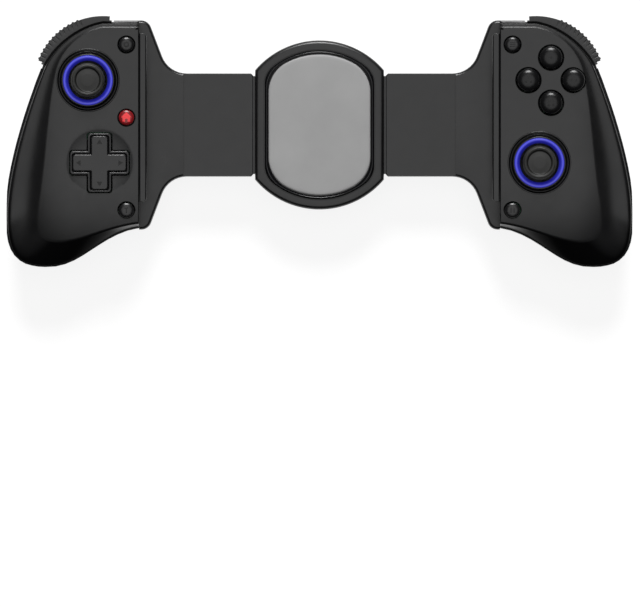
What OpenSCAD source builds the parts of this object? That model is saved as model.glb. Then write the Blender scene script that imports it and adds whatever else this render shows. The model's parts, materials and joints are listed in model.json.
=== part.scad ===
/* [Bridge] */
// Width of the bridge housing, across its straight sides
bridge_w = 50; // [46:0.5:54]
// Radius of the bridge housing's round ends
bridge_r = 32.8; // [31:0.1:35]
// Width of the oval phone pad
pad_w = 39.5; // [36:0.5:40]
// Radius of the phone pad's round ends
pad_r = 27.3; // [25:0.1:27.5]
// Width of the sliding arms
arm_w = 40; // [38.5:0.5:41]
// Height of the wings that carry the handles
wing_h = 81.2; // [78:0.2:83]
// How far each half slides out
stretch = 20; // [5:1:20]

/* [Handle] */
// Distance from the centre to the handle's inner wall
handle_in = 70; // [69:0.5:71]
// Height of the handle's front face above the table
face_z = 36; // [36:0.1:36.4]
// Height of the seam between the two shells
seam_z = 28; // [27.8:0.1:28.2]
// Thickness of the moulded shells
wall = 2; // [1.6:0.1:2.2]
// How far the face drops towards the foot of the grip
face_drop = 3.5; // [2:0.1:4]
// Depth of the valley beside the face, along the outer side of the grip
valley = 1.2; // [0:0.1:1.4]
// Radius of the bumper's outer surface
bumper_r = 26.9; // [26:0.1:27.4]

/* [Controls] */
// Diameter of the thumb stick's cap
stick_d = 13.2; // [12:0.1:13.6]
// Outer diameter of the light ring
ring_d = 19.4; // [19:0.1:20]
// Diameter of the raised collar round the stick
collar_d = 24.6; // [24:0.1:25]
// Span of the direction pad
dpad_span = 23.9; // [22:0.1:24]
// Width of the direction pad's arms
dpad_arm = 9.1; // [8:0.1:9.2]
// Diameter of the face buttons
face_button_d = 9; // [8:0.1:9.4]
// Distance from the middle of the cluster to each face button
cluster_r = 8.75; // [8.7:0.05:9]
// Diameter of the small buttons
small_button_d = 5.9; // [5:0.1:6.2]

/* [Hidden] */
$fn = 48;
eps = 0.01;

// Colours
black_shell = [0.13, 0.13, 0.135];
black_grip = [0.06, 0.06, 0.065];
black_gloss = [0.03, 0.03, 0.035];
grey_pad = [0.6, 0.6, 0.6];
grey_part = [0.3, 0.3, 0.32];
blue_ring = [0.2, 0.25, 0.9];
red_button = [0.8, 0.12, 0.12];
steel = [0.72, 0.73, 0.75];
board_green = [0.05, 0.3, 0.18];
amber_film = [0.75, 0.45, 0.12];
white_nylon = [0.85, 0.85, 0.82];

// Plan of one handle, drawn for the right hand with the middle of the bridge at 0, 0
shoulder_c = [83.9, 15.3];
shoulder_end = 15.5;
grip_foot = -55.2;
grip_out = 121.4;
// Each plan holds: inner wall, top, arc radius at its start and end, dip in the arc, side curve, lobe curve,
// lower curve, bottom of the inner wall
outline_plan = [handle_in, 40.5, 25.2, 25, 0, [[113.6, 2.6], [grip_out, -17], [grip_out, -35]],
    [[grip_out, -48], [115.8, grip_foot], [106.3, grip_foot]], [[92.3, grip_foot], [85, -43.6]], -40.1];
edge_plan = [handle_in, 39.2, 23.9, 23.7, 1.5, [[112.4, 2.6], [120.4, -17], [120.6, -35]],
    [[120.6, -47.5], [115.4, -54.4], [106.2, -54.4]], [[92.4, -54.4], [85, -42.8]], -39.4];
crease_plan = [handle_in, 37.5, 22.2, 19, 0.6, [[105.6, 8], [106.9, -12], [109.4, -28]],
    [[111.6, -41], [110, -45.2], [101, -45.4]], [[92, -45.6], [84, -40]], -38.4];
back_plan = [handle_in, 33, 17, 17.5, 0, [[105, 4], [109, -14], [109.5, -31]],
    [[109.5, -40], [107, -45.5], [101.5, -45.5]], [[92, -45.5], [85, -36]], -33];
plan_steps = [3, 14, 12, 10, 10, 7];
roll_steps = 6;
plan_core = [86, -3];
rim_z = seam_z - 1;

// Controls' places on one handle
upper_spot = [89.7, 17.2];
lower_spot = [85.2, -14.8];
small_x = 74.8;
top_small_y = 31;
home_y = 2.7;
low_small_y = -33.2;
screw_spots = [[82, 29.6], [75, -25.2], [104, -40], [104, -2]];
wing_screw_spots = [[66, 30], [66, -30]];
bridge_screw_spots = [for (x = [-14, 14], y = [-25, 25]) [x, y]];

// Levels
floor_gap = 0.3;
arm_z = [12, 22];
wing_z = 22.5;
split_z = 17;
sleeve_z = [13.1, 21.4];
pocket_z = [14.4, 20.1];
bridge_z = [10.5, 24.5];
board_z = [20.6, 22.2];
pivot_z = 27.5;
dpad_pivot_z = 33.2;
lip_z = 34;
well_z = 10;
well_floor = 2;

// Arms, racks and pinion
arm_end = bridge_w / 2 + 0.8;
sleeve_end = 2.2;
sleeve_w = 38;
pocket_w = 31.6;
pocket_end = 66;
tenon_w = 26;
tenon_end = 78;
tenon_z = [13.4, 20.3];
gear_module = 1;
gear_teeth = 12;
pitch_r = gear_module * gear_teeth / 2;
tooth_pitch = PI * gear_module;
addendum = 0.7;
dedendum = 0.95;
pressure_angle = 20;
backlash = 0.2;
rack_teeth = ceil((stretch + 17) / tooth_pitch);
rack_z = [14.7, 18.1];
rack_back = 14.5;
rack_tip = stretch + 16;
rack_root = 48;
axle_r = 1.5;
rack_posts = [34, 44];
rack_post_r = 1.2;

// Return springs
spring_y = 10.8;
spring_z = 16.8;
spring_r = 1.6;
spring_wire = 0.55;
spring_turns = 13;
spring_from = rack_tip + 0.25;
spring_to = 60.15;
spring_sides = 6;
spring_rings = 8;

// Shoulder controls
window_angle = [15.4, 99.5];
low_window_angle = [19.5, 96.5];
window_step_z = 19.2;
bulkhead_r = [18.9, 20.2];
bumper_z = [19.6, 27.6];
bumper_angle = [19, 97.5];
rib_pitch = 4.1;
rib_count = 12;
rib_r = 0.55;
bumper_flange_r = 21.9;
bumper_pivot = [79, 36.6];
bumper_pin_r = 0.7;
bumper_boss_r = 1.35;
trigger_r = 25.8;
trigger_z = [4.5, 18.8];
trigger_angle = [22, 94];
trigger_mid = 57.5;
trigger_wall = 1.5;
trigger_pin_r = 0.7;
trigger_pin_at = [22, 14.8];
ear_at = 4.6;
lug_at = 2.6;
trigger_pin_half = 5.2;
rib_rows = 14;
running_gap = 0.05;

// Whole part: the front view's box is centred on the origin
frame_y = -(shoulder_c[1] + bumper_r + grip_foot) / 2;

// Curves
function lerp(a, b, t) = a + (b - a) * t;
function on_arc(c, r, a) = c + r * [cos(a), sin(a)];
function bez(p, t) = pow(1 - t, 3) * p[0] + 3 * pow(1 - t, 2) * t * p[1] + 3 * (1 - t) * t * t * p[2]
    + pow(t, 3) * p[3];
function bez_run(p, n) = [for (i = [1:n]) bez(p, i / n)];
function line_run(a, b, n) = [for (i = [0:n - 1]) lerp(a, b, i / n)];
function arc_run(r0, r1, dip, n) = [
    for (i = [0:n])
        on_arc(shoulder_c, lerp(r0, r1, i / n) - dip * sin(180 * i / n), lerp(90, shoulder_end, i / n))
];

// Closed plan of the handle, drawn in by d, clockwise from the top of the inner wall
function moved(points, by) = [for (p = points) p + by];
function handle_loop(plan, d) =
    let (
        in = plan[0] + d,
        top = plan[1] - d,
        foot = plan[8] + d,
        arc = arc_run(plan[2] - d, plan[3] - d, plan[4], plan_steps[1]),
        side = moved(plan[5], [-d, 0]),
        lobe = [plan[6][0] + [-d, 0], plan[6][1] + [-d / 2, d], plan[6][2] + [0, d]],
        low = moved(plan[7], [0, d])
    )
    concat(
        line_run([in, top], arc[0], plan_steps[0]),
        arc,
        bez_run(concat([arc[plan_steps[1]]], side), plan_steps[2]),
        bez_run(concat([side[2]], lobe), plan_steps[3]),
        bez_run(concat([lobe[2]], low, [[in, foot]]), plan_steps[4]),
        [for (i = [1:plan_steps[5] - 1]) lerp([in, foot], [in, top], i / plan_steps[5])]
    );

// Height of the front face and of the back at a point of the plan
function ramp(v) = pow(max(0, v), 2);
function face_at(p) = face_z - ramp((p[0] - 95) / 12) - face_drop * ramp((-18 - p[1]) / 28);
function back_at(p) =
    8 * ramp((92 - p[0]) / 22) + 9 * ramp((p[1] - 10) / 28) + 1.5 * ramp((-38 - p[1]) / 10);

// Depth of the valley beside a point of the crease
function smooth(v) = let (t = max(0, min(1, v))) t * t * (3 - 2 * t);
function valley_at(p) = p[0] < 95 ? 0 : valley * smooth((22 - p[1]) / 9) * smooth((p[1] + 46) / 14);

// How far the roll beside a point of the crease leans from an ellipse to a straight slope
function lean_at(p) = 0.4 * smooth((-30 - p[1]) / 12);

// Rings of one skin: rolled from an edge loop to a crease loop, then drawn in to the core
function raised(loop, z) = [for (p = loop) [p[0], p[1], z]];
function rolled(edge, crease, heights, dips, leans, from_z, full) = [
    for (k = [0:roll_steps])
        let (
            a = 90 * k / roll_steps,
            out = pow(cos(a), full),
            up = pow(sin(a), full),
            dip = 27 / 4 * out * pow(1 - out, 2)
        )
            [for (i = [0:len(edge) - 1])
                let (p = lerp(crease[i], edge[i], out), rise = lerp(up, 1 - out, leans[i]))
                    [p[0], p[1], lerp(from_z, heights[i], rise) - dips[i] * dip]]
];
function front_height(p, d) = face_at(p) - d;
function back_height(p, d) = back_at(p) + d;
function front_rings(d) =
    let (
        edge = handle_loop(edge_plan, d),
        crease = handle_loop(crease_plan, d > 0 ? d * 0.6 : 0),
        heights = [for (p = crease) front_height(p, d)],
        dips = [for (p = crease) valley_at(p) * (d > 0 ? 0.5 : 1)],
        leans = [for (p = crease) lean_at(p)]
    )
    concat(
        rolled(edge, crease, heights, dips, leans, seam_z, 1),
        [for (f = [0.3, 0.65])
            [for (c = crease) let (p = lerp(c, plan_core, f)) [p[0], p[1], front_height(p, d)]]]
    );
function back_rings(d) =
    let (
        edge = handle_loop(outline_plan, d),
        crease = handle_loop(back_plan, d * 0.6),
        heights = [for (p = crease) back_height(p, d)],
        none = [for (p = crease) 0],
        lip = d > 0
            ? [raised(edge, seam_z)]
            : [raised(handle_loop(outline_plan, 1.2), seam_z),
                raised(handle_loop(outline_plan, 0.1), seam_z - 0.5)]
    )
    concat(
        lip,
        rolled(edge, crease, heights, none, none, rim_z, 0.85),
        [for (f = [0.3, 0.65])
            [for (c = crease) let (p = lerp(c, plan_core, f)) [p[0], p[1], back_height(p, d)]]]
    );

// Faces of stacked rings that close on a point
function joined(lists) = [for (l = lists) for (v = l) v];
function wound(faces, flip) = flip ? [for (f = faces) [f[2], f[1], f[0]]] : faces;
function ring_faces(n, m, base) = concat(
    [for (k = [0:m - 2], i = [0:n - 1])
        let (j = (i + 1) % n, a = base + k * n)
            each [[a + i, a + j, a + n + j], [a + i, a + n + j, a + n + i]]],
    [for (i = [0:n - 1]) let (a = base + (m - 1) * n) [a + i, a + (i + 1) % n, base + m * n]]
);
function rim_faces(n, a, b) = [
    for (i = [0:n - 1])
        let (j = (i + 1) % n) each [[a + j, a + i, b + i], [a + j, b + i, b + j]]
];

// A shell of two skins with a flat rim between them
module skin_shell(outer, inner, top, flip) {
    n = len(outer[0]);
    second = len(outer) * n + 1;
    polyhedron(
        points = concat(joined(outer), [top[0]], joined(inner), [top[1]]),
        faces = wound(concat(
            ring_faces(n, len(outer), 0),
            wound(ring_faces(n, len(inner), second), true),
            rim_faces(n, 0, second)
        ), flip)
    );
}

// The space inside one skin, closed flat at its rim
module skin_solid(rings, top, flip) {
    n = len(rings[0]);
    last = len(rings) * n + 1;
    middle = [plan_core[0], plan_core[1], rings[0][0][2]];
    polyhedron(
        points = concat(joined(rings), [top, middle]),
        faces = wound(concat(
            ring_faces(n, len(rings), 0),
            [for (i = [0:n - 1]) [(i + 1) % n, i, last]]
        ), flip)
    );
}

function core_at(z) = [plan_core[0], plan_core[1], z];

// Shared shapes
module placed() {
    translate([0, frame_y, 0]) children();
}

module half(side) {
    mirror([side == "left" ? 1 : 0, 0, 0]) children();
}

module at(p, z) {
    translate([p[0], p[1], z]) children();
}

module slab(z0, z1) {
    translate([0, 0, z0]) linear_extrude(z1 - z0) children();
}

module tube(r_out, r_in, z0, z1) {
    difference() {
        translate([0, 0, z0]) cylinder(r = r_out, h = z1 - z0);
        translate([0, 0, z0 - 1]) cylinder(r = r_in, h = z1 - z0 + 2);
    }
}

module sector(r0, r1, z0, z1, a0, a1) {
    at(shoulder_c, 0) rotate([0, 0, a0]) rotate_extrude(angle = a1 - a0, $fn = 96)
        translate([r0, z0]) square([r1 - r0, z1 - z0]);
}

module block(x0, x1, y0, y1, z0, z1) {
    translate([x0, y0, z0]) cube([x1 - x0, y1 - y0, z1 - z0]);
}

module oval(r, w, corner) {
    offset(r = corner) offset(delta = -corner) intersection() {
        circle(r = r, $fn = 72);
        square([w, 2 * r + 1], center = true);
    }
}

// Inset and height of a plate's outline from its cut face to its rolled face
ease_steps = 4;
function eased(z_cut, z_face, ease) =
    let (way = sign(z_face - z_cut))
    concat(
        [[0, z_cut]],
        [for (k = [0:ease_steps])
            let (a = 90 * k / ease_steps) [ease * (1 - cos(a)), z_face - way * ease * (1 - sin(a))]]
    );

// A solid through stacked outlines that are even about X, from the lowest to the highest
module lofted(loops) {
    n = len(loops[0]);
    last = (len(loops) - 1) * n;
    polyhedron(
        points = joined(loops),
        faces = concat(
            [for (i = [0:n / 2 - 2]) [i, i + 1, n - 2 - i, n - 1 - i]],
            [for (k = [0:len(loops) - 2], i = [0:n - 1])
                let (j = (i + 1) % n, a = k * n) [a + i, a + n + i, a + n + j, a + j]],
            [for (i = [0:n / 2 - 2]) [last + n - 1 - i, last + n - 2 - i, last + i + 1, last + i]]
        )
    );
}

module screw(z, head_r, shank_r, length) {
    translate([0, 0, z]) difference() {
        union() {
            cylinder(r = head_r, h = 2, $fn = 32);
            cylinder(r = shank_r, h = length, $fn = 32);
        }
        for (a = [0, 90]) rotate([0, 0, a])
            translate([-head_r * 0.7, -0.35, -eps]) cube([head_r * 1.4, 0.7, 1]);
    }
}

// Bridge
module bridge_outline() {
    oval(bridge_r, bridge_w, 1.6);
}

module bridge_half(z_cut, z_face, ease) {
    profile = eased(z_cut, z_face, ease);
    side = [for (e = profile) [bridge_w / 2 - e[0], e[1]]];
    other = [for (i = [len(side) - 1:-1:0]) [-side[i][0], side[i][1]]];
    intersection() {
        rotate_extrude($fn = 144) polygon(concat(
            [[0, z_cut]], [for (e = profile) [bridge_r - e[0], e[1]]], [[0, z_face]]
        ));
        rotate([90, 0, 0]) linear_extrude(2 * bridge_r + 2, center = true) polygon(concat(side, other));
    }
}

module bridge_mouth() {
    gap = floor_gap;
    block(-bridge_w, bridge_w, -sleeve_w / 2 - gap, sleeve_w / 2 + gap,
        sleeve_z[0] - gap, sleeve_z[1] + gap);
}

module bridge_inside(z0, z1) {
    difference() {
        slab(z0, z1) offset(delta = -wall) bridge_outline();
        for (s = [-1, 1]) {
            translate([0, s * (sleeve_w / 2 + 1), 0]) block(-bridge_w, bridge_w, -0.7, 0.7, 0, face_z);
        }
        for (p = bridge_screw_spots) at(p, 0) cylinder(r = 3.4, h = face_z);
    }
}

module bridge_front_cover() {
    color(black_shell) difference() {
        bridge_half(split_z, bridge_z[1], 1.4);
        bridge_inside(split_z - 1, sleeve_z[1] + floor_gap);
        bridge_mouth();
        slab(bridge_z[1] - 1.7, face_z) oval(pad_r + 2.1, pad_w + 3.9, 9.5);
        for (p = bridge_screw_spots) at(p, split_z - 1) cylinder(r = 1.1, h = 5);
    }
}

module bridge_back_cover() {
    color(black_shell) difference() {
        bridge_half(split_z, bridge_z[0], 1.4);
        difference() {
            union() {
                bridge_inside(bridge_z[0] + wall, split_z + 1);
                bridge_mouth();
            }
            cylinder(r = 1.95, h = rack_z[0] - 0.2);
        }
        translate([0, 0, bridge_z[0] + 1]) cylinder(r = axle_r, h = 8);
        for (p = bridge_screw_spots) at(p, 0) {
            cylinder(r = 2.7, h = bridge_z[0] + 2.4);
            cylinder(r = 1.4, h = face_z);
        }
    }
}

module bridge_screws() {
    color(steel) for (p = bridge_screw_spots) at(p, 0) screw(bridge_z[0] + 0.4, 2.4, 1.05, 10);
}

module pad_carrier() {
    color(black_gloss) difference() {
        slab(bridge_z[1] - 1.7, bridge_z[1] + 0.3) oval(pad_r + 1.6, pad_w + 2.9, 9);
        slab(bridge_z[1] - 1.1, face_z) oval(pad_r + 0.1, pad_w + 0.2, 8.1);
        for (x = [-9, 9]) translate([x, 0, 0]) cylinder(r = 2, h = face_z);
    }
}

module phone_pad() {
    color(grey_pad) union() {
        slab(bridge_z[1] - 1.1, bridge_z[1] + 0.9) oval(pad_r, pad_w, 8);
        for (x = [-9, 9]) translate([x, 0, bridge_z[1] - 1.7]) cylinder(r = 1.9, h = 1);
    }
}

// Sync gear
base_r = pitch_r * cos(pressure_angle);
tooth_w = tooth_pitch / 2 - backlash / 2;
function involute(a) = tan(a) * 180 / PI - a;
function flank_angle(r) =
    tooth_w / pitch_r * 90 / PI + involute(pressure_angle) - involute(acos(min(1, base_r / r)));
tooth_radii = [for (k = [0:5]) lerp(base_r, pitch_r + addendum, k / 5)];

module pinion_tooth() {
    root_r = pitch_r - dedendum - 0.4;
    polygon(concat(
        [root_r * [cos(flank_angle(base_r)), -sin(flank_angle(base_r))]],
        [for (r = tooth_radii) r * [cos(flank_angle(r)), -sin(flank_angle(r))]],
        [for (k = [5:-1:0]) let (r = tooth_radii[k]) r * [cos(flank_angle(r)), sin(flank_angle(r))]],
        [root_r * [cos(flank_angle(base_r)), sin(flank_angle(base_r))]]
    ));
}

// Half the width of a rack's tooth at a height above its pitch line
function rack_half(h) = tooth_w / 2 - h * tan(pressure_angle);
module rack_tooth() {
    root = -dedendum - 0.1;
    polygon([[-rack_half(root), -root], [-rack_half(addendum), -addendum], [rack_half(addendum), -addendum],
        [rack_half(root), -root]]);
}

module sync_pinion() {
    color(white_nylon) difference() {
        slab(rack_z[0], rack_z[1]) {
            circle(r = pitch_r - dedendum);
            for (i = [0:gear_teeth - 1]) rotate(90 + 360 * i / gear_teeth) pinion_tooth();
        }
        cylinder(r = axle_r + running_gap, h = face_z);
    }
}

module pinion_axle() {
    color(steel) translate([0, 0, bridge_z[0] + 1])
        cylinder(r = axle_r, h = rack_z[1] + 0.15 - bridge_z[0] - 1);
}

// The rack of the left half: it lies above the pinion and reaches into the right arm
module left_rack() {
    color(grey_part) difference() {
        slab(rack_z[0], rack_z[1]) {
            translate([-rack_root, pitch_r + dedendum])
                square([rack_root + rack_tip, rack_back - pitch_r - dedendum]);
            for (i = [0:rack_teeth - 1]) translate([tooth_pitch * (i - 2.5), pitch_r]) rack_tooth();
        }
        for (x = rack_posts) translate([-x, spring_y, 0]) cylinder(r = rack_post_r, h = face_z);
        translate([rack_tip - 2.5, spring_y, 0]) cylinder(r = 0.9, h = face_z);
    }
}

module right_rack() {
    rotate([0, 0, 180]) left_rack();
}

// Coil of a return spring with straight ends
function spring_point(t) =
    let (
        turn = max(0, min(1, (t - 0.05) / 0.9)),
        r = spring_r * min(1, min(t, 1 - t) / 0.05),
        a = 360 * spring_turns * turn
    )
    [lerp(spring_from, spring_to, t), spring_y + r * cos(a), spring_z + r * sin(a)];
spring_path_n = spring_turns * spring_rings + 8;
spring_path = [for (i = [0:spring_path_n]) spring_point(i / spring_path_n)];

function unit(v) = v / norm(v);
function heading(path, i) = unit(path[min(i + 1, len(path) - 1)] - path[max(i - 1, 0)]);
function wire_ring(path, i) =
    let (
        d = heading(path, i),
        u = unit(cross(d, abs(d[0]) < 0.9 ? [1, 0, 0] : [0, 1, 0])),
        v = cross(d, u)
    )
    [for (k = [0:spring_sides - 1])
        path[i] + spring_wire / 2 * (cos(360 * k / spring_sides) * u + sin(360 * k / spring_sides) * v)];

module upper_spring() {
    rings = [for (i = [0:len(spring_path) - 1]) wire_ring(spring_path, i)];
    n = spring_sides;
    last = (len(rings) - 1) * n;
    color(steel) polyhedron(
        points = joined(rings),
        faces = concat(
            [for (k = [0:len(rings) - 2], i = [0:n - 1])
                let (j = (i + 1) % n, a = k * n)
                    each [[a + i, a + n + j, a + j], [a + i, a + n + i, a + n + j]]],
            [for (i = [1:n - 2]) [0, i, i + 1]],
            [for (i = [1:n - 2]) [last, last + i + 1, last + i]]
        )
    );
}

module lower_spring() {
    rotate([0, 0, 180]) upper_spring();
}

// Flat cable between the two boards, with the slack folded in the middle of the bridge
module flex_cable() {
    film = 0.16;
    step = 0.5;
    low = 18.45;
    fold = [-11, 9];
    reach = 80;
    cable_w = 9;
    color(amber_film) translate([0, cable_w / 2, 0]) rotate([90, 0, 0]) linear_extrude(cable_w) {
        translate([-reach, low - film / 2]) square([reach + fold[1], film]);
        translate([fold[0], low + step - film / 2]) square([fold[1] - fold[0], film]);
        translate([fold[0], low + 2 * step - film / 2]) square([reach - fold[0], film]);
        for (k = [0, 1]) translate([fold[1 - k], low + step * (k + 0.5)]) intersection() {
            difference() {
                circle(r = (step + film) / 2);
                circle(r = (step - film) / 2);
            }
            translate([k == 0 ? 0 : -2, -1]) square(2);
        }
    }
}

// Arm and wing of one half, seen from the front: a convex corner and a concave fillet with a shared tangent
wing_corner_r = 4;
wing_corner = [69.2, wing_h / 2 - wing_corner_r];
wing_fillet_r = 10.3;
wing_fillet = [51.5, arm_w / 2 + wing_fillet_r];
wing_span = wing_corner - wing_fillet;
wing_tangent = atan2(wing_span[1], wing_span[0]) - acos((wing_corner_r + wing_fillet_r) / norm(wing_span));
wing_steps = 8;
function wing_side(d) = concat(
    [[handle_in, wing_h / 2 - d]],
    [for (k = [0:wing_steps])
        on_arc(wing_corner, wing_corner_r - d, lerp(90, 180 + wing_tangent, k / wing_steps))],
    [for (k = [0:wing_steps])
        on_arc(wing_fillet, wing_fillet_r + d, lerp(wing_tangent, -90, k / wing_steps))],
    [[arm_end + d + 0.8, arm_w / 2 - d], [arm_end + d, arm_w / 2 - d - 0.8]]
);
function wing_loop(d, z) =
    let (side = wing_side(d))
    concat(
        [for (p = side) [p[0], p[1], z]],
        [for (i = [len(side) - 1:-1:0]) [side[i][0], -side[i][1], z]]
    );

module wing_plate(z_cut, z_face, ease) {
    up = z_face > z_cut;
    spare = up ? 1 : -1;
    loops = concat(
        [for (e = eased(z_cut - spare, z_face, ease)) wing_loop(e[0], e[1])],
        [wing_loop(ease, z_face + spare)]
    );
    low = min(z_cut, z_face);
    high = max(z_cut, z_face);
    difference() {
        lofted(up ? loops : [for (i = [len(loops) - 1:-1:0]) loops[i]]);
        block(0, 2 * handle_in, -wing_h, wing_h, low - 2, low);
        block(0, 2 * handle_in, -wing_h, wing_h, high, high + 2);
    }
}

module arm_pocket() {
    block(0, pocket_end, -pocket_w / 2, pocket_w / 2, pocket_z[0], pocket_z[1]);
    block(pocket_end - 1, tenon_end + 1, -6, 6, pocket_z[0] + 1.6, tenon_z[1] - 0.6);
}

module arm_halves(z0, z1) {
    sleeve = [max(z0, sleeve_z[0]), min(z1, sleeve_z[1])];
    tenon = [max(z0, tenon_z[0]), min(z1, tenon_z[1])];
    difference() {
        union() {
            children();
            block(sleeve_end, arm_end + 1, -sleeve_w / 2, sleeve_w / 2, sleeve[0], sleeve[1]);
            block(handle_in - 1, tenon_end, -tenon_w / 2, tenon_w / 2, tenon[0], tenon[1]);
        }
        arm_pocket();
    }
}

module arm_front() {
    seam_line = 52.4;
    color(black_shell) difference() {
        arm_halves(split_z, wing_z) wing_plate(split_z, wing_z, 1.2);
        block(0, seam_line, -arm_w, arm_w, arm_z[1], face_z);
        block(seam_line - eps, seam_line + 0.5, -arm_w, arm_w, arm_z[1] - 0.3, face_z);
        for (p = wing_screw_spots) at(p, split_z - 1) cylinder(r = 1.1, h = 4.5);
    }
}

// The back of an arm carries the posts of its own rack and the hook of the other rack's spring
module arm_back(rack_side) {
    color(black_shell) difference() {
        union() {
            arm_halves(arm_z[0], split_z) wing_plate(split_z, arm_z[0], 0.8);
            for (x = rack_posts) translate([x, rack_side * spring_y, pocket_z[0] - 0.5])
                cylinder(r = rack_post_r, h = rack_z[1] - pocket_z[0] + 0.2);
            translate([spring_to + 1.45, -rack_side * spring_y, pocket_z[0] - 0.5])
                cylinder(r = 1.2, h = 4.6);
        }
        for (p = wing_screw_spots) at(p, 0) {
            cylinder(r = 2.7, h = arm_z[0] + 2.2);
            cylinder(r = 1.4, h = face_z);
        }
    }
}

// Handle shells
module stick_collar() {
    r = collar_d / 2;
    seat = ring_d / 2;
    rotate_extrude($fn = 96) polygon([
        [seat - 3, face_z - 2.6], [r - 0.6, face_z - 2.6], [r, face_z - 0.9], [r, face_z + 0.1],
        [r - 0.4, face_z + 0.1], [r - 1.2, face_z - 1], [seat + 0.4, face_z + 0.75], [seat - 3, face_z + 0.75]
    ]);
}

module stick_hole() {
    translate([0, 0, face_z - 1.6]) cylinder(r = ring_d / 2, h = 9, $fn = 96);
    translate([0, 0, seam_z]) cylinder(r = ring_d / 2 - 2.1, h = 12, $fn = 96);
}

module cross(span, arm, round) {
    offset(r = round, $fn = 24) offset(delta = -round) intersection() {
        union() {
            square([span, arm], center = true);
            square([arm, span], center = true);
        }
        circle(r = span / 2, $fn = 120);
    }
}

module dpad_dish() {
    dish_r = 13.3;
    depth = 1;
    ball = (dish_r * dish_r + depth * depth) / (2 * depth);
    translate([0, 0, face_z - depth + ball]) sphere(r = ball, $fn = 180);
}

module dpad_hole() {
    slab(seam_z, face_z + 4) cross(dpad_span + 1, dpad_arm + 1, 1);
}

module cluster() {
    for (a = [0:90:270]) rotate([0, 0, a]) translate([cluster_r, 0, 0]) children();
}

module screw_boss(p) {
    top = face_at(p) - 1;
    at(p, well_z + well_floor) cylinder(r = 2.7, h = top - well_z - well_floor);
}

module front_shell(side) {
    stick_spot = side == "left" ? upper_spot : lower_spot;
    small_spots = side == "left" ? [top_small_y, home_y, low_small_y] : [top_small_y, low_small_y];
    color(black_shell) difference() {
        union() {
            skin_shell(front_rings(0), front_rings(wall),
                [core_at(face_at(plan_core)), core_at(face_at(plan_core) - wall)], false);
            for (p = screw_spots) screw_boss(p);
            at(stick_spot, 0) stick_collar();
            if (side == "left") at(lower_spot, face_z - 3) cylinder(r = 14.4, h = 1.4);
        }
        at(stick_spot, 0) stick_hole();
        for (y = small_spots) at([small_x, y], seam_z) cylinder(r = small_button_d / 2 + 0.3, h = 12);
        if (side == "left") at(lower_spot, 0) {
            dpad_dish();
            dpad_hole();
        }
        if (side == "right") at(upper_spot, seam_z) cluster() cylinder(r = face_button_d / 2 + 0.3, h = 12);
        for (p = screw_spots) at(p, well_z) cylinder(r = 1.1, h = 16);
        block(handle_in - 1, handle_in + 1.2, -26, 31, 30, 32);
    }
}

// A post that stands on the inside of the back: its foot is cut to the slope of the wall
function back_slope(p) =
    let (h = 0.1)
    [back_at(p + [h, 0]) - back_at(p - [h, 0]), back_at(p + [0, h]) - back_at(p - [0, h])] / (2 * h);
module back_boss(p, r, top) {
    slope = back_slope(p);
    foot = back_at(p) + wall / 2;
    difference() {
        at(p, 0) cylinder(r = r, h = top);
        at(p, foot) rotate(a = atan(norm(slope)), v = [slope[1], -slope[0], 0])
            block(-3 * top, 3 * top, -3 * top, 3 * top, -2 * top, 0);
    }
}

module back_shell(side) {
    color(black_grip) difference() {
        union() {
            skin_shell(back_rings(0), back_rings(wall),
                [core_at(back_at(plan_core)), core_at(back_at(plan_core) + wall)], true);
            intersection() {
                skin_solid(back_rings(0), core_at(back_at(plan_core)), true);
                sector(bulkhead_r[0], bulkhead_r[1] + 0.3, 0, seam_z - 0.4, window_angle[0] - 0.4,
                    window_angle[1] + 1);
            }
            for (p = screw_spots) back_boss(p, 4.3, well_z + well_floor);
            back_boss(bumper_pivot, bumper_boss_r, bumper_z[0] + 0.6);
            at(bumper_pivot, bumper_z[0] - 1) cylinder(r = bumper_pin_r, h = 8.4);
            trigger_ears();
        }
        sector(bulkhead_r[1], 34, -1, window_step_z, low_window_angle[0], low_window_angle[1]);
        sector(bulkhead_r[1], 34, window_step_z - eps, face_z, window_angle[0], window_angle[1]);
        for (p = screw_spots) at(p, -1) {
            cylinder(r = 3, h = well_z + 1);
            cylinder(r = 1.4, h = 20);
        }
        block(handle_in - 1, handle_in + wall + 1, -tenon_w / 2 - 0.2, tenon_w / 2 + 0.2, tenon_z[0] - 0.2,
            tenon_z[1] + 0.2);
        if (side == "right") translate([charge_at[0], charge_at[1] - 4, charge_at[2]]) rotate([-90, 0, 0])
            socket_form(4.7, 1.8, 10);
        along_trigger_pin() translate([0, 0, -trigger_pin_half - 0.2])
            cylinder(r = trigger_pin_r, h = 2 * trigger_pin_half + 0.4);
    }
}

// Shoulder controls
module bumper() {
    top = bumper_z[1];
    color(black_shell) difference() {
        union() {
            sector(24.4, 25.4, bumper_z[0], top, bumper_angle[0], bumper_angle[1]);
            sector(25.3, bumper_r, bumper_z[0], top, bumper_angle[0] + 2, bumper_angle[1] - 2);
            sector(bumper_flange_r, 25.4, top - 1.8, top, bumper_angle[0], bumper_angle[1]);
            for (i = [0:rib_count - 1])
                at(on_arc(shoulder_c, bumper_r - 0.15, bumper_angle[0] + 4 + i * rib_pitch), bumper_z[0])
                    cylinder(r = rib_r, h = top - bumper_z[0], $fn = 16);
            slab(top - 1.8, top) hull() {
                translate(bumper_pivot) circle(r = bumper_boss_r - 0.25);
                translate(on_arc(shoulder_c, bumper_flange_r + 0.9, 94)) circle(r = 0.9);
            }
            at(bumper_pivot, bumper_z[0] + 0.9) cylinder(r = bumper_boss_r, h = top - bumper_z[0] - 0.9);
        }
        at(bumper_pivot, 0) cylinder(r = bumper_pin_r + running_gap, h = face_z);
    }
}

module along_trigger_pin() {
    at(on_arc(shoulder_c, trigger_pin_at[0], trigger_mid), trigger_pin_at[1])
        rotate([0, 0, trigger_mid]) rotate([90, 0, 0]) children();
}

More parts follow.
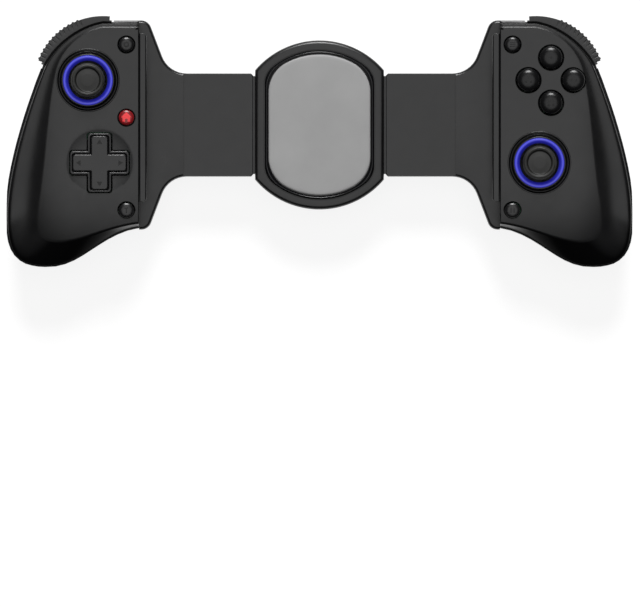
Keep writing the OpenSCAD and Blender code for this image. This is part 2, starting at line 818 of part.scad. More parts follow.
module trigger_ears() {
    for (s = [-1, 1]) along_trigger_pin() translate([0, 0, s * ear_at - 0.6]) linear_extrude(1.2) hull() {
        circle(r = 1.25);
        translate([bulkhead_r[0] + 0.1 - trigger_pin_at[0], -1.8]) square([1, 3.6]);
    }
}

module trigger() {
    in_r = trigger_r - trigger_wall;
    color(black_shell) difference() {
        union() {
            sector(in_r, trigger_r, trigger_z[0], trigger_z[1], trigger_angle[0], trigger_angle[1]);
            sector(bumper_flange_r, trigger_r, trigger_z[1] - 1.5, trigger_z[1], trigger_angle[0],
                trigger_angle[1]);
            for (i = [0:rib_rows - 1])
                at(on_arc(shoulder_c, trigger_r - 0.15, trigger_angle[0] + 6 + i * rib_pitch),
                    trigger_z[0] + 1.2) cylinder(r = rib_r, h = 8, $fn = 16);
            for (s = [-1, 1]) along_trigger_pin() translate([0, 0, s * lug_at - 1])
                linear_extrude(2) hull() {
                    circle(r = 1.4);
                    translate([in_r - trigger_pin_at[0], -1.6]) square([0.8, 5]);
                }
        }
        along_trigger_pin() translate([0, 0, -lug_at - 1.2])
            cylinder(r = trigger_pin_r + running_gap, h = 2 * lug_at + 2.4);
    }
}

module trigger_pin() {
    color(steel) along_trigger_pin() translate([0, 0, -trigger_pin_half])
        cylinder(r = trigger_pin_r, h = 2 * trigger_pin_half);
}

// Clamp pad: the phone's end stands against its web, under its lip
module clamp_pad() {
    from_y = -29.8;
    to_y = 35.3;
    lip = 3.1;
    web = 1.6;
    ease = 0.5;
    color(black_shell) translate([handle_in, 0, 0]) mirror([1, 0, 0]) {
        difference() {
            translate([0, to_y, 0]) rotate([90, 0, 0]) linear_extrude(to_y - from_y) polygon([
                [0, wing_z], [web, wing_z], [web, lip_z], [lip - ease, lip_z], [lip, lip_z + ease],
                [lip, face_z - ease], [lip - ease, face_z], [ease, face_z], [0, face_z - ease]
            ]);
            for (z = [24.5:2:32.5]) block(web - 0.3, web + 1, from_y + 3, to_y - 3, z, z + 0.8);
            for (e = [[from_y, 1], [to_y, -1]]) translate([lip, e[0], 0]) rotate([0, 0, 45])
                block(-0.7, 0.7, -0.7, 0.7, lip_z - 1, face_z + 1);
        }
        block(-1.1, eps, -25.8, 30.8, 30.1, 31.9);
    }
}

// Thumb stick
module light_ring() {
    r = ring_d / 2;
    color(blue_ring) rotate_extrude($fn = 96) polygon([
        [r - 2.1, face_z - 1.6], [r, face_z - 1.6], [r, face_z + 0.5], [r - 0.45, face_z + 0.95],
        [r - 1.2, face_z + 0.95], [r - 2.1, face_z - 0.8]
    ]);
}

module stick_base() {
    color(grey_part) difference() {
        block(-8, 8, -8, 8, board_z[1], pivot_z + 0.9);
        block(-7.2, 7.2, -7.2, 7.2, board_z[1] + 0.8, face_z);
    }
}

module trunnion(axis_turn, from_r, to_r, r) {
    for (s = [0, 180]) translate([0, 0, pivot_z]) rotate([0, 0, axis_turn + s]) rotate([0, 90, 0])
        translate([0, 0, from_r]) cylinder(r = r, h = to_r - from_r, $fn = 24);
}

module stick_cradle() {
    plate_z = pivot_z - 4;
    color(grey_part) difference() {
        union() {
            block(-6.4, 6.4, -4, 4, plate_z, plate_z + 1);
            for (s = [-1, 1]) translate([s * 5.85, 0, 0])
                block(-0.55, 0.55, -1.7, 1.7, plate_z, pivot_z + 1.5);
        }
        trunnion(0, 4, 8, 0.8 + running_gap);
    }
}

module stick_gimbal() {
    color(white_nylon) difference() {
        union() {
            tube(4.8, 3.5, pivot_z - 1.3, pivot_z + 1.3);
            trunnion(0, 4.4, 6.3, 0.8);
        }
        trunnion(90, 3, 6, 0.8 + running_gap);
    }
}

module stick_shaft() {
    hood = [6.2, 6.9];
    hood_angle = 48;
    color(black_gloss) union() {
        translate([0, 0, pivot_z]) sphere(r = 2.7);
        trunnion(90, 2, 4.7, 0.8);
        translate([0, 0, pivot_z]) cylinder(r = 1.9, h = 15);
        translate([0, 0, pivot_z]) rotate_extrude() intersection() {
            difference() {
                circle(r = hood[1], $fn = 96);
                circle(r = hood[0], $fn = 96);
            }
            polygon([[0, 0], [8 * sin(hood_angle), 8 * cos(hood_angle)], [8, 20], [0, 20]]);
        }
    }
}

module stick_cap() {
    r = stick_d / 2;
    top = pivot_z + 16.8;
    color(black_shell) difference() {
        rotate_extrude($fn = 96) polygon([
            [0, pivot_z + 9], [3, pivot_z + 9], [3.2, pivot_z + 12], [4.6, pivot_z + 13.2],
            [r - 0.5, pivot_z + 13.8], [r, pivot_z + 14.4], [r, top - 0.9], [r - 0.5, top - 0.2],
            [r - 1.1, top], [r - 1.7, top - 0.3], [r - 2.1, top - 0.9], [0, top - 0.6]
        ]);
        translate([0, 0, pivot_z + 8]) cylinder(r = 1.9, h = 7);
    }
}

// Direction pad
module dpad() {
    top = face_z + 1.2;
    bottom = 30.2;
    color(black_gloss) difference() {
        union() {
            slab(bottom, top - 0.8) cross(dpad_span, dpad_arm, 0.8);
            slab(bottom, bottom + 1) cross(dpad_span + 2, dpad_arm + 2, 0.8);
            slab(top - 0.9, top - 0.4) cross(dpad_span - 0.8, dpad_arm - 0.8, 0.8);
            slab(top - 0.5, top) cross(dpad_span - 1.8, dpad_arm - 1.8, 0.8);
            for (a = [0:90:270]) rotate([0, 0, a]) translate([7.6, 0, bottom - 2])
                cylinder(r = 1.6, h = 2.5);
        }
        translate([0, 0, dpad_pivot_z]) sphere(r = 2.4);
        translate([0, 0, bottom - 1]) cylinder(r = 4.2, h = dpad_pivot_z - bottom + 0.4);
    }
}

module dpad_pivot() {
    color(steel) translate([0, 0, dpad_pivot_z]) sphere(r = 2.3);
}

module dome() {
    foot = board_z[1] + 0.8;
    top = 26.2;
    rotate_extrude($fn = 32) polygon([
        [2.4, foot], [3.6, foot], [3.2, foot + 1.4], [2.6, top], [0, top], [0, top - 0.8], [1.9, top - 0.8],
        [2.4, foot + 1]
    ]);
}

module membrane(disc_r, hole_r, spread) {
    color(grey_part) difference() {
        union() {
            translate([0, 0, board_z[1]]) cylinder(r = disc_r, h = 1);
            for (a = [0:90:270]) rotate([0, 0, a]) translate([spread, 0, 0]) {
                translate([0, 0, board_z[1]]) cylinder(r = 3.7, h = 1);
                dome();
            }
        }
        translate([0, 0, board_z[1] - 1]) cylinder(r = hole_r, h = 3);
        for (a = [0:90:270]) rotate([0, 0, a]) translate([spread, 0, board_z[1] - 1])
            cylinder(r = 2.2, h = 3);
    }
}

// Buttons
flange_z = [face_z - wall - 2.05, face_z - wall - 1.15];
module button(d, height, stem_r, stem_z) {
    crown = d / 2 * 0.62;
    rotate_extrude($fn = 64) polygon(concat(
        [[0, stem_z], [stem_r, stem_z], [stem_r, flange_z[0]], [d / 2, flange_z[0]]],
        [for (a = [0:15:90]) [crown + (d / 2 - crown) * cos(a), face_z + height * (0.35 + 0.5 * sin(a))]],
        [[crown * 0.5, face_z + height * 0.96], [0, face_z + height]]
    ));
}

module button_flange(r) {
    translate([0, 0, flange_z[0]]) cylinder(r = r, h = flange_z[1] - flange_z[0], $fn = 64);
}

// A small button at its place, let down with the sloping face, its flange cut flat beside the inner wall
module small_button(y, paint) {
    spot = [small_x, y];
    drop = (face_z - face_at(spot)) * 1.12;
    color(paint) at(spot, -drop) union() {
        button(small_button_d, 1.1, 1.5, 24.9 + drop);
        difference() {
            button_flange(small_button_d / 2 + 0.9);
            block(-5, handle_in + wall + 0.2 - small_x, -5, 5, seam_z, face_z);
        }
    }
}

module face_button(turn) {
    color(black_gloss) at(upper_spot, 0) rotate([0, 0, turn]) translate([cluster_r, 0, 0]) union() {
        button(face_button_d, 2.2, 2.4, 27.5);
        button_flange(face_button_d / 2 + 0.6);
    }
}

// Circuit boards
module board_outline() {
    difference() {
        polygon(handle_loop(outline_plan, 3));
        difference() {
            translate(shoulder_c) circle(r = 45);
            translate(shoulder_c) circle(r = bulkhead_r[0] - 0.4, $fn = 96);
            translate([60, -60]) square([80, 60 + shoulder_c[1] - 3]);
            translate([60, -60]) square([bumper_pivot[0] - 2.6 - 60, 120]);
        }
        for (p = screw_spots) translate(p) circle(r = 3.1);
    }
}

module board(side) {
    small_spots = side == "left" ? [top_small_y, home_y, low_small_y] : [top_small_y, low_small_y];
    color(board_green) difference() {
        union() {
            slab(board_z[0], board_z[1]) board_outline();
            for (y = small_spots) at([small_x - 0.2, y], 0)
                block(-1.6, 2, -2.2, 2.2, board_z[1] - eps, 24.2);
            if (side == "left") at(lower_spot, board_z[1] - eps)
                cylinder(r = 2.2, h = dpad_pivot_z - 1.2 - board_z[1]);
        }
        if (side == "left") at(lower_spot, dpad_pivot_z) sphere(r = 2.4);
    }
}

module battery() {
    color(grey_part) at([99.8, -22.5], 3) linear_extrude(6) offset(r = 1.5) square([15, 21], center = true);
}

// Charging socket, at the foot of the right grip
charge_at = [105.5, -54.5, 18.7];

module socket_form(w, r, depth) {
    linear_extrude(depth) hull() for (s = [-1, 1]) translate([s * (w - r), 0]) circle(r = r);
}

module charge_socket() {
    translate(charge_at) rotate([-90, 0, 0]) {
        color(steel) difference() {
            socket_form(4.5, 1.6, 7.5);
            translate([0, 0, -1]) socket_form(4.2, 1.3, 7);
        }
        color(black_gloss) translate([0, 0, 1.2]) linear_extrude(5.5) square([6.6, 0.7], center = true);
    }
}

module shell_screws() {
    color(steel) {
        for (p = screw_spots) at(p, 0) screw(well_z - 2, 2.6, 1.05, 16);
        for (p = wing_screw_spots) at(p, 0) screw(arm_z[0] + 0.2, 2.4, 1.05, 8);
    }
}

placed() bridge_front_cover();
placed() bridge_back_cover();
placed() pad_carrier();
placed() phone_pad();
placed() sync_pinion();
placed() pinion_axle();
placed() bridge_screws();
placed() flex_cable();
placed() upper_spring();
placed() lower_spring();
placed() left_rack();
placed() right_rack();
for (side = ["left", "right"]) placed() half(side) {
    stick_spot = side == "left" ? upper_spot : lower_spot;
    arm_front();
    arm_back(side == "left" ? 1 : -1);
    front_shell(side);
    back_shell(side);
    clamp_pad();
    bumper();
    trigger();
    trigger_pin();
    board(side);
    shell_screws();
    at(stick_spot, 0) light_ring();
    at(stick_spot, 0) stick_base();
    at(stick_spot, 0) stick_cradle();
    at(stick_spot, 0) stick_gimbal();
    at(stick_spot, 0) stick_shaft();
    at(stick_spot, 0) stick_cap();
}
placed() half("left") {
    at(lower_spot, 0) dpad();
    at(lower_spot, 0) dpad_pivot();
    at(lower_spot, 0) membrane(10.5, 2.8, 7.6);  // dpad_membrane
    small_button(top_small_y, black_gloss);  // capture_button
    small_button(home_y, red_button);  // home_button
    small_button(low_small_y, black_gloss);  // turbo_button
    battery();
}
placed() half("right") {
    face_button(90);  // face_button_top
    face_button(180);  // face_button_left
    face_button(0);  // face_button_right
    face_button(270);  // face_button_bottom
    at(upper_spot, 0) membrane(8, 2, cluster_r);  // face_button_membrane
    small_button(top_small_y, black_gloss);  // menu_button
    small_button(low_small_y, black_gloss);  // mode_button
    charge_socket();
}
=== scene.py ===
# Looks of a stretching phone game controller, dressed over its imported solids
import json
import math

import bmesh
import bpy
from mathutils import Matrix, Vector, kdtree

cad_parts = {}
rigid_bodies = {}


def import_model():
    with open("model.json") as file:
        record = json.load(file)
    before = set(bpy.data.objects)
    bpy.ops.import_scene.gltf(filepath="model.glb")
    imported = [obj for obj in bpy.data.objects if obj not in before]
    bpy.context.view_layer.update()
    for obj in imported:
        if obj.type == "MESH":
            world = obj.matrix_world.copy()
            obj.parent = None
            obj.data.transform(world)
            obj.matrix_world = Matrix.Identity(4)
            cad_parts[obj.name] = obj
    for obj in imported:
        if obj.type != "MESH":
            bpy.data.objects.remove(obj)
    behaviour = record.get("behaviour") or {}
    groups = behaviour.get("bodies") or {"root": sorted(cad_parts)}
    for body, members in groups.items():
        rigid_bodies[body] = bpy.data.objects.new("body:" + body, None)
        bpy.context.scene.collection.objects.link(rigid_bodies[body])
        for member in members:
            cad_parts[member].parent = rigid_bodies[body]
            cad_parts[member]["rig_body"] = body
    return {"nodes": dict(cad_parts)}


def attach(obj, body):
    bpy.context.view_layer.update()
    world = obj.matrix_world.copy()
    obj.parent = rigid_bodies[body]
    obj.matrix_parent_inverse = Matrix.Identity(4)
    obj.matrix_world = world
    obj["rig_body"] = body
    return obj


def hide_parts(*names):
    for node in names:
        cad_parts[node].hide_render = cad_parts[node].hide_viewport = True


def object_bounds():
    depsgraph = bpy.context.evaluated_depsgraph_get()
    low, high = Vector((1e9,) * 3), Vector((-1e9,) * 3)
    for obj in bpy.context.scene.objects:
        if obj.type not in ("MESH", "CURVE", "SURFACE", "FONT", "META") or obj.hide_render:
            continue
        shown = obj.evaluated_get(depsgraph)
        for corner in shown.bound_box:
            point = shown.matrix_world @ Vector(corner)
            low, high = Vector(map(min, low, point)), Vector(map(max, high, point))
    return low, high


for left_over in list(bpy.data.objects):
    bpy.data.objects.remove(left_over)
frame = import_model()
cad_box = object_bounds()
nodes = frame["nodes"]
scene = bpy.context.scene
scene.view_settings.view_transform = "Standard"

# Millimetres of the part's source, whose middle of the bridge lies at 0, 6.5 in the frame
MM = 0.001
FRAME_Y = 6.5
FACE_Z = 36.0
SEAM_Z = 28.0
WALL = 2.0
SIDES = {"left": -1, "right": 1}
QUARTERS = ((1, 0), (0, 1), (-1, 0), (0, -1))

# Places of the controls: the upper and lower spot are alike on both halves, mirrored
UPPER_SPOT = (89.7, 17.2)
LOWER_SPOT = (85.2, -14.8)
STICK_SPOTS = {"left": (-UPPER_SPOT[0], UPPER_SPOT[1]), "right": LOWER_SPOT}
CROSS_SPOT = (-LOWER_SPOT[0], LOWER_SPOT[1])
FACE_BUTTON_REACH = 8.75
FACE_TURNS = {"right": 0, "top": 90, "left": 180, "bottom": 270}
SMALL_X = 74.8
TOP_SMALL_Y = 31.0
HOME_Y = 2.7
LOW_SMALL_Y = -33.2
SMALL_YS = {"left": (TOP_SMALL_Y, HOME_Y, LOW_SMALL_Y), "right": (TOP_SMALL_Y, LOW_SMALL_Y)}


def lerp(a, b, t):
    return a + (b - a) * t


def mix(a, b, t):
    return tuple(lerp(u, v, t) for u, v in zip(a, b))


def unit(t):
    return max(0.0, min(1.0, t))


def fade(value, start, end):
    """From 0 at the start to 1 at the end, with a soft beginning and end."""
    t = unit((value - start) / (end - start))
    return t * t * (3 - 2 * t)


def in_frame(p):
    return (p[0] * MM, (p[1] + FRAME_Y) * MM, p[2] * MM)


def mirrored(p, s):
    return (s * p[0], *p[1:])


def turned(p, quarter):
    c, s = QUARTERS[quarter]
    return (c * p[0] - s * p[1], s * p[0] + c * p[1])


def on_circle(centre, r, a):
    return (centre[0] + r * math.cos(a), centre[1] + r * math.sin(a))


def face_button_spot(turn):
    return on_circle(UPPER_SPOT, FACE_BUTTON_REACH, math.radians(turn))


# Materials
CLOUD_SCALE = 60.0
PATCH_SCALE = 190.0
# Glow of the light ring by radius: a painted highlight brightest on the crown, painted shade in deep blue
# on the inner slope and at the foot
RING_PAINTED_LIGHT_RADII = (7.0, 9.8)
RING_PAINTED_LIGHT = [
    (0.0, (0.006, 0.006, 0.12)),
    (0.34, (0.012, 0.012, 0.28)),
    (0.55, (0.03, 0.03, 0.46)),
    (0.7, (0.06, 0.06, 0.66)),
    (0.8, (0.13, 0.13, 1.0)),
    (0.88, (0.05, 0.05, 0.55)),
    (1.0, (0.02, 0.02, 0.26)),
]
RING_PAINTED_LIGHT_STRENGTH = 0.56
PLASTIC_SPECULAR = 0.5
# Weak specular level of the painted shade on the grip's steep foot and rim
PAINTED_SHADE_SPECULAR = 0.03


def add(tree, kind, **values):
    node = tree.nodes.new(kind)
    for key, value in values.items():
        setattr(node, key, value)
    return node


def noise(tree, where, scale, detail):
    node = add(tree, "ShaderNodeTexNoise")
    node.inputs["Scale"].default_value = scale
    node.inputs["Detail"].default_value = detail
    tree.links.new(where, node.inputs["Vector"])
    return node.outputs["Fac"]


def spread(tree, value, low, high):
    node = add(tree, "ShaderNodeMapRange")
    node.inputs["To Min"].default_value = low
    node.inputs["To Max"].default_value = high
    tree.links.new(value, node.inputs["Value"])
    return node.outputs["Result"]


def ramp(tree, value, stops):
    node = add(tree, "ShaderNodeValToRGB")
    node.color_ramp.elements[0].position = stops[0][0]
    node.color_ramp.elements[0].color = (*stops[0][1], 1)
    node.color_ramp.elements[1].position = stops[-1][0]
    node.color_ramp.elements[1].color = (*stops[-1][1], 1)
    for position, colour in stops[1:-1]:
        node.color_ramp.elements.new(position).color = (*colour, 1)
    tree.links.new(value, node.inputs["Fac"])
    return node.outputs["Color"]


def tinted(colour, share):
    return tuple(min(1.0, c * share) for c in colour)


def finish(name, colour, rough, grain, depth, mottle=0.12, rough_spread=0.05, **sockets):
    """A moulded or metal surface: grain is its size and depth its height, both in millimetres."""
    material = bpy.data.materials.new(name)
    material.use_nodes = True
    tree = material.node_tree
    shader = tree.nodes["Principled BSDF"]
    where = add(tree, "ShaderNodeTexCoord").outputs["Object"]
    cloud = noise(tree, where, CLOUD_SCALE, 3.0)
    tone = ramp(tree, cloud, [(0.3, tinted(colour, 1 - mottle)), (0.7, tinted(colour, 1 + mottle))])
    tree.links.new(tone, shader.inputs["Base Color"])
    patch = noise(tree, where, PATCH_SCALE, 4.0)
    roughness = spread(tree, patch, rough - rough_spread, rough + rough_spread)
    tree.links.new(roughness, shader.inputs["Roughness"])
    bump = add(tree, "ShaderNodeBump")
    bump.inputs["Strength"].default_value = 1.0
    bump.inputs["Distance"].default_value = depth * MM
    tree.links.new(noise(tree, where, 1 / (grain * MM), 1.0), bump.inputs["Height"])
    tree.links.new(bump.outputs["Normal"], shader.inputs["Normal"])
    for socket, value in sockets.items():
        shader.inputs[socket.replace("_", " ")].default_value = value
    return material


def painted_light_ring(name, centre):
    """Frosted light guide that glows, with a painted highlight brightest on its crown and painted shade in
    deep blue on its inner slope and at its foot.
    """
    material = finish(name, (0.015, 0.02, 0.22), 0.3, grain=0.4, depth=0.004)
    tree = material.node_tree
    shader = tree.nodes["Principled BSDF"]
    where = add(tree, "ShaderNodeTexCoord").outputs["Object"]
    shift = add(tree, "ShaderNodeVectorMath", operation="SUBTRACT")
    shift.inputs[1].default_value = in_frame((*centre, 0))
    tree.links.new(where, shift.inputs[0])
    flat = add(tree, "ShaderNodeVectorMath", operation="MULTIPLY")
    flat.inputs[1].default_value = (1, 1, 0)
    tree.links.new(shift.outputs["Vector"], flat.inputs[0])
    size = add(tree, "ShaderNodeVectorMath", operation="LENGTH")
    tree.links.new(flat.outputs["Vector"], size.inputs[0])
    across = add(tree, "ShaderNodeMapRange")
    across.inputs["From Min"].default_value = RING_PAINTED_LIGHT_RADII[0] * MM
    across.inputs["From Max"].default_value = RING_PAINTED_LIGHT_RADII[1] * MM
    tree.links.new(size.outputs["Value"], across.inputs["Value"])
    painted_glow = ramp(tree, across.outputs["Result"], RING_PAINTED_LIGHT)
    tree.links.new(painted_glow, shader.inputs["Emission Color"])
    shader.inputs["Emission Strength"].default_value = RING_PAINTED_LIGHT_STRENGTH
    return material


def painted_shade_finish(name, colour, shade_colour, rough, **values):
    """Moulded plastic with painted shade, darker and duller where a layer of the mesh says so."""
    material = finish(name, colour, rough, **values)
    tree = material.node_tree
    shader = tree.nodes["Principled BSDF"]
    zone = add(tree, "ShaderNodeAttribute", attribute_name="painted_shade_zone").outputs["Fac"]
    tree.links.new(ramp(tree, zone, [(0.0, colour), (1.0, shade_colour)]), shader.inputs["Base Color"])
    specular = spread(tree, zone, PLASTIC_SPECULAR, PAINTED_SHADE_SPECULAR)
    tree.links.new(specular, shader.inputs["Specular IOR Level"])
    return material


def circuit(name):
    """Green board with fine, paler tracks."""
    green = (0.012, 0.09, 0.05)
    material = finish(name, green, 0.35, grain=0.6, depth=0.01)
    tree = material.node_tree
    shader = tree.nodes["Principled BSDF"]
    where = add(tree, "ShaderNodeTexCoord").outputs["Object"]
    tracks = add(tree, "ShaderNodeTexBrick")
    tracks.inputs["Scale"].default_value = 420.0
    tracks.inputs["Mortar Size"].default_value = 0.03
    tracks.inputs["Color1"].default_value = (*green, 1)
    tracks.inputs["Color2"].default_value = (0.016, 0.11, 0.06, 1)
    tracks.inputs["Mortar"].default_value = (0.10, 0.24, 0.12, 1)
    tree.links.new(where, tracks.inputs["Vector"])
    tree.links.new(tracks.outputs["Color"], shader.inputs["Base Color"])
    return material


def brushed(name, colour, rough):
    """Turned or drawn metal, with fine lines along it."""
    material = finish(name, colour, rough, grain=0.5, depth=0.006, mottle=0.08, Metallic=1.0)
    tree = material.node_tree
    shader = tree.nodes["Principled BSDF"]
    where = add(tree, "ShaderNodeTexCoord").outputs["Object"]
    lines = add(tree, "ShaderNodeTexWave", wave_type="BANDS", bands_direction="Z")
    lines.inputs["Scale"].default_value = 900.0
    lines.inputs["Distortion"].default_value = 3.0
    tree.links.new(where, lines.inputs["Vector"])
    roughness = spread(tree, lines.outputs["Fac"], rough - 0.08, rough + 0.1)
    tree.links.new(roughness, shader.inputs["Roughness"])
    return material


BLACK = (0.006, 0.006, 0.0064)
# Darker black that paints shade on the steep foot and rim of the grip
PAINTED_SHADE_BLACK = (0.0025, 0.0025, 0.0027)
PLAIN_BLACK = (0.006, 0.006, 0.0065)
shell_black = finish("moulded_black", BLACK, 0.30, grain=0.28, depth=0.007)
# Moulded black with painted shade on the grip's steep foot and rim
painted_shade_black = painted_shade_finish("painted_shade_black", BLACK, PAINTED_SHADE_BLACK, 0.30, grain=0.28, depth=0.007)
grip_black = finish("grip_plastic", PLAIN_BLACK, 0.34, grain=0.45, depth=0.014)
rib_black = finish("shoulder_black", (0.019, 0.019, 0.0195), 0.40, grain=0.25, depth=0.012)
gloss_black = finish("gloss_black", (0.005, 0.005, 0.006), 0.17, grain=0.9, depth=0.002, rough_spread=0.03)
button_black = finish("button_black", PLAIN_BLACK, 0.27, grain=0.5, depth=0.003, rough_spread=0.04)
dome_black = finish("dome_black", PLAIN_BLACK, 0.25, grain=0.5, depth=0.003, Specular_IOR_Level=0.32)
rubber_black = finish("stick_rubber", (0.013, 0.013, 0.012), 0.46, grain=0.2, depth=0.02)
collar_black = finish("collar_black", (0.004, 0.004, 0.0045), 0.24, grain=0.6, depth=0.003)
pad_grey = finish("pad_silicone", (0.36, 0.36, 0.36), 0.52, grain=0.22, depth=0.012, mottle=0.05)
home_red = finish("home_red", (0.22, 0.008, 0.011), 0.24, grain=0.4, depth=0.004, mottle=0.1)
mark_pale = finish("mark_pale", (0.022, 0.022, 0.023), 0.55, grain=0.15, depth=0.004)
mark_dark = finish("mark_dark", (0.0018, 0.0018, 0.002), 0.6, grain=0.15, depth=0.004)
mark_rose = finish("mark_rose", (0.95, 0.035, 0.042), 0.3, grain=0.15, depth=0.004)
grey_plastic = finish("inner_grey", (0.07, 0.07, 0.075), 0.5, grain=0.3, depth=0.01)
nylon_white = finish("nylon", (0.68, 0.67, 0.62), 0.45, grain=0.3, depth=0.008, mottle=0.06)
silicone_grey = finish("dome_silicone", (0.16, 0.16, 0.165), 0.6, grain=0.2, depth=0.01)
cell_foil = finish("cell_foil", (0.10, 0.11, 0.13), 0.38, grain=1.2, depth=0.06, Metallic=0.6)
film_amber = finish("film_amber", (0.42, 0.17, 0.03), 0.25, grain=0.8, depth=0.01, mottle=0.25)
steel = brushed("drawn_steel", (0.55, 0.56, 0.58), 0.3)
screw_steel = brushed("black_oxide", (0.10, 0.10, 0.105), 0.34)
board_green = circuit("solder_mask")


# Pieces
def placed(name, data):
    obj = bpy.data.objects.new(name, data)
    scene.collection.objects.link(obj)
    return obj


def piece(name, mesh, body, material, stands_for=(), sharp=34):
    mesh.shade_smooth()
    mesh.set_sharp_from_angle(angle=math.radians(sharp))
    obj = placed(name, mesh)
    mesh.materials.clear()
    mesh.materials.append(material)
    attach(obj, body)
    if stands_for:
        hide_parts(*stands_for)
    return obj


def mesh_of(name, points, faces):
    mesh = bpy.data.meshes.new(name)
    mesh.from_pydata([in_frame(p) for p in points], [], faces)
    bm = bmesh.new()
    bm.from_mesh(mesh)
    bmesh.ops.remove_doubles(bm, verts=bm.verts, dist=1e-7)
    bmesh.ops.recalc_face_normals(bm, faces=bm.faces)
    bm.to_mesh(mesh)
    bm.free()
    return mesh


def ring_faces(first, count, n):
    """Faces between rings that follow each other, of n points each, from the first point on."""
    faces = []
    for k in range(count - 1):
        a = first + k * n
        for i in range(n):
            j = (i + 1) % n
            faces.append((a + i, a + j, a + n + j, a + n + i))
    return faces


def loft(name, rings):
    """Mesh through rings of as many points each, closed at both ends."""
    n = len(rings[0])
    points = [p for ring in rings for p in ring]
    faces = ring_faces(0, len(rings), n)
    faces.append(tuple(range(n)))
    faces.append(tuple(range((len(rings) - 1) * n, len(rings) * n)))
    return mesh_of(name, points, faces)


def rounded(points, radii, steps=5, closed=True):
    """The outline with its corners turned to arcs of about those radii."""
    out = []
    n = len(points)
    for i, p in enumerate(points):
        if radii[i] == 0 or (not closed and i in (0, n - 1)):
            out.append(p)
            continue
        before = points[i - 1]
        after = points[(i + 1) % n]
        ab = math.dist(p, before)
        ac = math.dist(p, after)
        u = ((before[0] - p[0]) / ab, (before[1] - p[1]) / ab)
        v = ((after[0] - p[0]) / ac, (after[1] - p[1]) / ac)
        half = math.acos(max(-1.0, min(1.0, u[0] * v[0] + u[1] * v[1]))) / 2
        reach = min(radii[i] / math.tan(half), ab * 0.48, ac * 0.48)
        start = (p[0] + u[0] * reach, p[1] + u[1] * reach)
        end = (p[0] + v[0] * reach, p[1] + v[1] * reach)
        for s in range(steps + 1):
            t = s / steps
            out.append(tuple(
                (1 - t) ** 2 * a + 2 * t * (1 - t) * b + t * t * c for a, b, c in zip(start, p, end)
            ))
    return out


def lathe(name, profile, spot, n=96, wrap=False, ribs=None):
    """The profile of radius and height turned about an upright axis through the spot."""
    points = []
    for i in range(n):
        a = 2 * math.pi * i / n
        for r, z in profile:
            if ribs and r > ribs[0]:
                r += ribs[1] * math.cos(ribs[2] * a)
            points.append((*on_circle(spot, r, a), z))
    m = len(profile)
    faces = []
    for i in range(n):
        a = i * m
        b = (i + 1) % n * m
        for k in range(m if wrap else m - 1):
            j = (k + 1) % m
            corners = [a + k, a + j, b + j, b + k]
            if profile[k][0] == 0:
                corners.remove(b + k)
            if profile[j][0] == 0:
                corners.remove(b + j)
            if len(corners) > 2:
                faces.append(tuple(corners))
    return mesh_of(name, points, faces)


def joined_mesh(node, flat=False):
    """The mesh of a carried-over solid with its split corners joined, so that it can be shaded smooth."""
    mesh = bpy.data.meshes.new(node + "_skin")
    bm = bmesh.new()
    bm.from_mesh(nodes[node].data)
    bmesh.ops.remove_doubles(bm, verts=bm.verts, dist=2e-6)
    bmesh.ops.dissolve_degenerate(bm, edges=bm.edges, dist=2e-6)
    if flat:
        bmesh.ops.dissolve_limit(bm, angle_limit=math.radians(0.4), verts=bm.verts, edges=bm.edges)
    bm.to_mesh(mesh)
    bm.free()
    if "custom_normal" in mesh.attributes:
        mesh.attributes.remove(mesh.attributes["custom_normal"])
    return mesh


def refined(node, material, sharp=32, bevel=0.0):
    """A carried-over solid with its facets joined to smooth surfaces, and eased edges with a bevel."""
    mesh = joined_mesh(node, bevel > 0)
    obj = piece(node + "_skin", mesh, nodes[node]["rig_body"], material, [node], sharp)
    if bevel:
        ease = obj.modifiers.new("ease", "BEVEL")
        ease.width = bevel * MM
        ease.segments = 2
        ease.limit_method = "ANGLE"
        ease.angle_limit = math.radians(40)
        ease.harden_normals = False
    return obj


def dressed(node, material):
    """A carried-over solid whose shape is right, with its own finish."""
    nodes[node].data.materials.clear()
    nodes[node].data.materials.append(material)


def cut(blank, cutters, operation="DIFFERENCE"):
    """The mesh that is left of a blank after its cutters, which are meshes too."""
    obj = placed("blank", blank)
    tools = [placed("cutter", mesh) for mesh in cutters]
    for tool in tools:
        hole = obj.modifiers.new("hole", "BOOLEAN")
        hole.operation = operation
        hole.solver = "EXACT"
        hole.object = tool
    shape = bpy.data.meshes.new_from_object(obj.evaluated_get(bpy.context.evaluated_depsgraph_get()))
    for used in (obj, *tools):
        bpy.data.objects.remove(used)
    return shape


def outline_ring(outline, spot, z):
    return [(spot[0] + x, spot[1] + y, z) for x, y in outline]


def tree_of(points):
    tree = kdtree.KDTree(len(points))
    for i, p in enumerate(points):
        tree.insert(p, i)
    tree.balance()
    return tree


# Front shells: the solids' plan, the skin's fuller plan and its crease, with curves as control points
SHOULDER = (83.9, 15.3)
SHOULDER_END = 15.5
SOLID_PLAN = {
    "inner": 70,
    "top": 39.2,
    "foot": -39.4,
    "radii": (23.9, 23.7),
    "dip": 1.5,
    "side": [(112.4, 2.6), (120.4, -17), (120.6, -35)],
    "lobe": [(120.6, -47.5), (115.4, -54.4), (106.2, -54.4)],
    "low": [(92.4, -54.4), (85, -42.8)],
}
EDGE_PLAN = {
    **SOLID_PLAN,
    "side": [(113.5, 5.2), (121.1, -18.6), (121.1, -35)],
    "lobe": [(121.1, -51.4), (116, -54.4), (105, -54.4)],
    "low": [(92.3, -54.4), (84.9, -41.5)],
}
CREASE_PLAN = {
    "inner": 70,
    "top": 37.5,
    "foot": -38.4,
    "radii": (22.2, 19),
    "dip": 0.6,
    "side": [(105.2, 8), (106, -12), (108.4, -28)],
    "lobe": [(110.6, -41), (109.2, -45.3), (101, -45.5)],
    "low": [(92, -45.7), (84, -40.2)],
}
